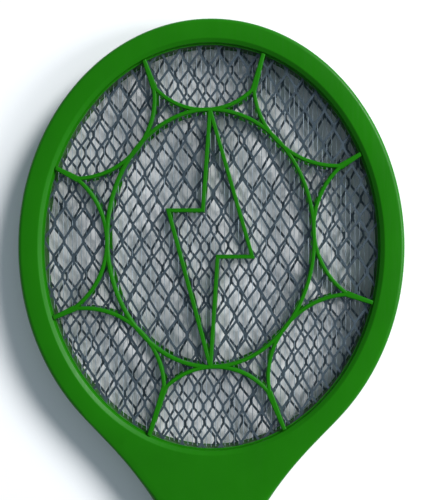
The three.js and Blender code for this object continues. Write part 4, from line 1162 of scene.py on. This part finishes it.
def cell_wrap(name, base_y, tip_y):
    """A printed wrap with a copper band near the nub and bare steel at both ends. It carries no lettering."""
    material, tree, shader, coords = blank(name)
    place = position_along(tree, coords, "Y", base_y, tip_y)
    steel, dark, copper, pale = (0.55, 0.55, 0.56), (0.012, 0.014, 0.018), (0.55, 0.2, 0.06), (0.5, 0.5, 0.52)
    stops = [(0.0, steel), (0.03, dark), (0.7, pale), (0.715, copper), (0.955, steel)]
    tint = ramp(tree, place, stops, "CONSTANT")
    tree.links.new(tint, shader.inputs["Base Color"])
    metal_share = ramp(tree, place, [(0.0, (1, 1, 1)), (0.03, (0.1,) * 3), (0.955, (1, 1, 1))], "CONSTANT")
    tree.links.new(metal_share, shader.inputs["Metallic"])
    wear = noise(tree, mapped(tree, coords, (300, 40, 300)), 1, detail=4)
    tree.links.new(spread(tree, wear, 0.22, 0.4), shader.inputs["Roughness"])
    bump(tree, shader, wear, 0.08, 0.00004)
    return material


def banded_resistor(name):
    """Lacquer with colour bands along X and bare wire at both ends."""
    material, tree, shader, coords = blank(name)
    place = position_along(tree, coords, "X", -RESISTOR_LENGTH / 2, RESISTOR_LENGTH / 2)
    tan, brown, black, orange, gold = (
        (0.55, 0.36, 0.17), (0.12, 0.03, 0.01), (0.01, 0.01, 0.01), (0.75, 0.18, 0.01), (0.6, 0.4, 0.06),
    )
    stops = [
        (0.0, (0.5, 0.5, 0.5)), (0.01, tan), (0.18, brown), (0.26, tan), (0.36, black), (0.44, tan),
        (0.54, orange), (0.62, tan), (0.78, gold), (0.86, tan), (0.99, (0.5, 0.5, 0.5)),
    ]
    tree.links.new(ramp(tree, place, stops, "CONSTANT"), shader.inputs["Base Color"])
    speck = noise(tree, coords, 1500)
    tree.links.new(spread(tree, speck, 0.3, 0.45), shader.inputs["Roughness"])
    bump(tree, shader, speck, 0.1, 0.00003)
    return material


def solder_mask(name):
    """A green board: copper tracks show faintly under the mask."""
    material, tree, shader, coords = blank(name)
    tracks = tree.nodes.new("ShaderNodeTexBrick")
    tracks.inputs["Scale"].default_value = 1
    tracks.inputs["Mortar Size"].default_value = 0.0004
    tracks.inputs["Brick Width"].default_value = 0.009
    tracks.inputs["Row Height"].default_value = 0.0035
    tracks.inputs["Color1"].default_value = (0.008, 0.09, 0.03, 1)
    tracks.inputs["Color2"].default_value = (0.012, 0.12, 0.04, 1)
    tracks.inputs["Mortar"].default_value = (0.03, 0.22, 0.06, 1)
    tree.links.new(coords, tracks.inputs["Vector"])
    tree.links.new(tracks.outputs["Color"], shader.inputs["Base Color"])
    weave = noise(tree, mapped(tree, coords, (1400, 1400, 200)), 1, detail=2)
    tree.links.new(spread(tree, weave, 0.28, 0.42), shader.inputs["Roughness"])
    bump(tree, shader, tracks.outputs["Fac"], 0.3, 0.00004)
    return material


def wound_tape(name):
    material, tree, shader, coords = blank(name)
    turns = tree.nodes.new("ShaderNodeTexWave")
    turns.bands_direction = "Z"
    turns.inputs["Scale"].default_value = 260
    turns.inputs["Distortion"].default_value = 1.5
    tree.links.new(coords, turns.inputs["Vector"])
    tint = ramp(tree, turns.outputs["Fac"], [(0.2, (0.5, 0.3, 0.02)), (0.8, (0.72, 0.5, 0.06))])
    tree.links.new(tint, shader.inputs["Base Color"])
    tree.links.new(spread(tree, turns.outputs["Fac"], 0.35, 0.5), shader.inputs["Roughness"])
    bump(tree, shader, turns.outputs["Fac"], 0.3, 0.00005)
    return material


def sintered(name):
    material, tree, shader, coords = blank(name)
    grit = noise(tree, coords, 1800, detail=4)
    tint = ramp(tree, grit, [(0.35, (0.012, 0.012, 0.014)), (0.7, (0.06, 0.06, 0.065))])
    tree.links.new(tint, shader.inputs["Base Color"])
    tree.links.new(spread(tree, grit, 0.5, 0.75), shader.inputs["Roughness"])
    bump(tree, shader, grit, 0.4, 0.00005)
    return material


def clear_plastic(name, colour, through):
    material, tree, shader, coords = blank(name)
    swirl = noise(tree, coords, 300, detail=2)
    tint = ramp(tree, swirl, [(0.3, scaled(colour, 0.85)), (0.7, colour)])
    tree.links.new(tint, shader.inputs["Base Color"])
    tree.links.new(spread(tree, swirl, 0.06, 0.14), shader.inputs["Roughness"])
    shader.inputs["Transmission Weight"].default_value = through
    shader.inputs["IOR"].default_value = 1.49
    return material


# ---- assembly ----

SHELL_COLOUR = (0.008, 0.125, 0.0008)
green = moulded("moulded_green", SHELL_COLOUR, rough=0.36, gloss=0.12)
strand_metal = metal("dull_strand_metal", (0.062, 0.088, 0.11), rough=0.6, metallic=0.5)
wire_metal = metal("drawn_wire", (0.31, 0.38, 0.44), rough=0.65, metallic=0.1, brushed=(300, 40, 300))
dark_insulator = moulded("insulator_green", (0.012, 0.07, 0.006), rough=0.55)
zinc = metal("zinc_plate", (0.5, 0.51, 0.53), rough=0.35)
nickel = metal("nickel_plate", (0.6, 0.58, 0.52), rough=0.28)
matte_black = moulded("matte_black", (0.012, 0.012, 0.013), rough=0.5, grain=0.25)
red_lead = coated_lead("red_insulation", (0.43, 0.01, 0.01))
black_lead = coated_lead("black_insulation", (0.012, 0.012, 0.012))

shell = grip_grooves(frame_shell())
finish(front_frame(shell), "front_half", "racket", "shell_green", green, "front_frame")
finish(rear_frame(shell), "rear_half", "racket", "shell_green", green, "rear_frame")
finish(battery_cover(shell), "sliding_cover", "battery_cover", "shell_green", green, "battery_cover")
bpy.data.objects.remove(shell)

ribs = front_guard()
rear_ribs = mirrored(ribs)
finish(ribs, "front_ribs", "racket", "shell_green", green, "front_guard")
finish(rear_ribs, "rear_ribs", "racket", "shell_green", green, "rear_guard")
finish(
    expanded_sheet("front_mesh", FRONT_MESH_TURN, -TAB_X), "front_expanded_sheet",
    "racket", "mesh_metal", strand_metal, "front_mesh",
)
finish(
    expanded_sheet("rear_mesh", REAR_MESH_TURN, TAB_X, REAR_MESH_SHIFT), "rear_expanded_sheet",
    "racket", "mesh_metal", strand_metal, "rear_mesh",
)
finish(wire_grid(), "fine_wire_grid", "racket", "grid_metal", wire_metal, "middle_grid")

finish(
    zap_button(), "dished_button", "zap_button", "button_yellow",
    moulded("button_yellow", (0.75, 0.42, 0.0), rough=0.35), "zap_button",
)
spring = finish(button_spring(), "return_spring", "racket", "steel", zinc, "button_spring")
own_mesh(spring)
finish(switch_knob(), "ridged_switch_knob", "power_switch", "black_plastic", matte_black, "power_switch_knob")
finish(
    indicator_window(), "lamp_window", "racket", "clear_red",
    clear_plastic("clear_red", (0.65, 0.04, 0.03), 0.6), "indicator_window",
)
for name, (x, y, foot) in screw_places().items():
    finish(screw(name, x, y, foot), name + "_cross_head", "racket", "steel", zinc, name)


def keep(node, material):
    """Gives a carried-over node its finish."""
    node_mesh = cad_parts[node].data
    node_mesh.materials.clear()
    node_mesh.materials.append(material)


for node in ("front_spacer", "rear_spacer"):
    keep(node, dark_insulator)
for node in ("battery_spring_1", "battery_spring_2"):
    keep(node, nickel)
for node in ("positive_lead", "front_mesh_lead", "rear_mesh_lead"):
    keep(node, red_lead)
for node in ("negative_lead", "middle_grid_lead"):
    keep(node, black_lead)

for node, name in (("battery_1", "left_cell"), ("battery_2", "right_cell")):
    low, high = box_mm(node)
    ends = (low.y, high.y) if node == "battery_1" else (high.y, low.y)
    finish(battery(node), name, "racket", "cell_wrap", cell_wrap(name + "_wrap", *ends), node)

SOFT_PARTS = [
    ("battery_link_plate", "nickel", nickel, 0.15),
    ("positive_contact", "nickel", nickel, 0.15),
    ("negative_contact", "nickel", nickel, 0.15),
    ("circuit_board", "board", solder_mask("solder_mask"), 0.15),
    ("transformer_core", "ferrite", sintered("sintered_ferrite"), 0.3),
    ("transformer_winding", "winding_tape", wound_tape("wound_tape"), 0.6),
    ("storage_capacitor", "capacitor", moulded("dipped_red", (0.26, 0.03, 0.015), rough=0.25), 0.8),
    ("transistor", "black_plastic", matte_black, 0.12),
    ("diode_1", "black_plastic", matte_black, 0.12),
    ("resistor_1", "resistor", banded_resistor("banded_resistor"), 0.12),
    ("resistor_2", "resistor", banded_resistor("banded_resistor_2"), 0.12),
    ("zap_switch_body", "black_plastic", matte_black, 0.25),
    ("power_switch_body", "black_plastic", matte_black, 0.25),
    ("indicator_led", "led", clear_plastic("led_red", (0.55, 0.01, 0.01), 0.3), 0.1),
]
for node, slot, material, width in SOFT_PARTS:
    finish(softened(node, width), node + "_finished", "racket", slot, material, node)


# ---- floor, light and camera ----

FLOOR_HALF_SIZE = 30
SUN_ANGLE = math.radians(22)
CAMERA_TURN = (1.9, -0.3, -0.1)  # yaw, pitch and roll in degrees
CAMERA_TARGET = (4.3, 116.8, 12)  # millimetres
CAMERA_DISTANCE = 0.52
CAMERA_LENS = 69.8
CAMERA_SENSOR = 36


def floor():
    """A plain pale sheet that the racket lies on."""
    bm = bmesh.new()
    bmesh.ops.create_grid(bm, x_segments=1, y_segments=1, size=FLOOR_HALF_SIZE)
    plane = piece_from(bm, "floor")
    plane.data.transform(Matrix.Translation((0, 0, -0.0002)))
    material, tree, shader, coords = blank("pale_floor")
    clouds = noise(tree, coords, 6)
    tint = ramp(tree, clouds, [(0.3, (0.84, 0.845, 0.855)), (0.7, (0.86, 0.865, 0.875))])
    tree.links.new(tint, shader.inputs["Base Color"])
    shader.inputs["Roughness"].default_value = 0.8
    plane.data.materials.append(material)
    plane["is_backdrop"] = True


def lamp(name, place, aim, size, power):
    """A round soft light, in metres and watts."""
    data = bpy.data.lights.new(name, "AREA")
    data.shape = "DISK"
    data.size = size
    data.energy = power
    made = bpy.data.objects.new(name, data)
    made.location = place
    made.rotation_euler = (Vector(aim) - Vector(place)).to_track_quat("-Z", "Y").to_euler()
    bpy.context.scene.collection.objects.link(made)


def soft_sun(name, toward, strength):
    """Even light over the whole floor, from the direction given."""
    data = bpy.data.lights.new(name, "SUN")
    data.energy = strength
    data.angle = SUN_ANGLE
    made = bpy.data.objects.new(name, data)
    made.rotation_euler = Vector(toward).to_track_quat("Z", "Y").to_euler()
    bpy.context.scene.collection.objects.link(made)


def lights():
    """Soft light from the upper right, a low one along the rim, and a faint even sky."""
    world = bpy.data.worlds.new("soft_sky")
    world.use_nodes = True
    world.node_tree.nodes["Background"].inputs["Color"].default_value = (0.74, 0.89, 1.0, 1)
    world.node_tree.nodes["Background"].inputs["Strength"].default_value = 0.33
    bpy.context.scene.world = world
    head = (0, HEAD_Y * MM, 0)
    lamp("key_light", (0.9, 0.8, 0.75), head, size=0.6, power=7)
    soft_sun("high_light", (0.9, 0.68, 0.78), strength=3.0)
    lamp("edge_light", (1.2, 0.15, 0.7), head, size=0.5, power=12)


def camera():
    """Looks almost straight down on the head."""
    yaw, pitch, roll = (math.radians(a) for a in CAMERA_TURN)
    toward = Vector((math.sin(yaw) * math.cos(pitch), -math.sin(pitch), math.cos(yaw) * math.cos(pitch)))
    target = Vector(CAMERA_TARGET) * MM
    data = bpy.data.cameras.new("camera")
    data.sensor_width = CAMERA_SENSOR
    data.lens = CAMERA_LENS
    made = bpy.data.objects.new("camera", data)
    right = Vector((0, 1, 0)).cross(toward).normalized()
    look = Matrix((right, toward.cross(right), toward)).transposed().to_4x4()
    place = Matrix.Translation(target + toward * CAMERA_DISTANCE)
    made.matrix_world = place @ look @ Matrix.Rotation(roll, 4, "Z")
    bpy.context.scene.collection.objects.link(made)
    bpy.context.scene.camera = made


floor()
lights()
camera()
bpy.context.scene.view_settings.view_transform = "Standard"

low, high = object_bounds()
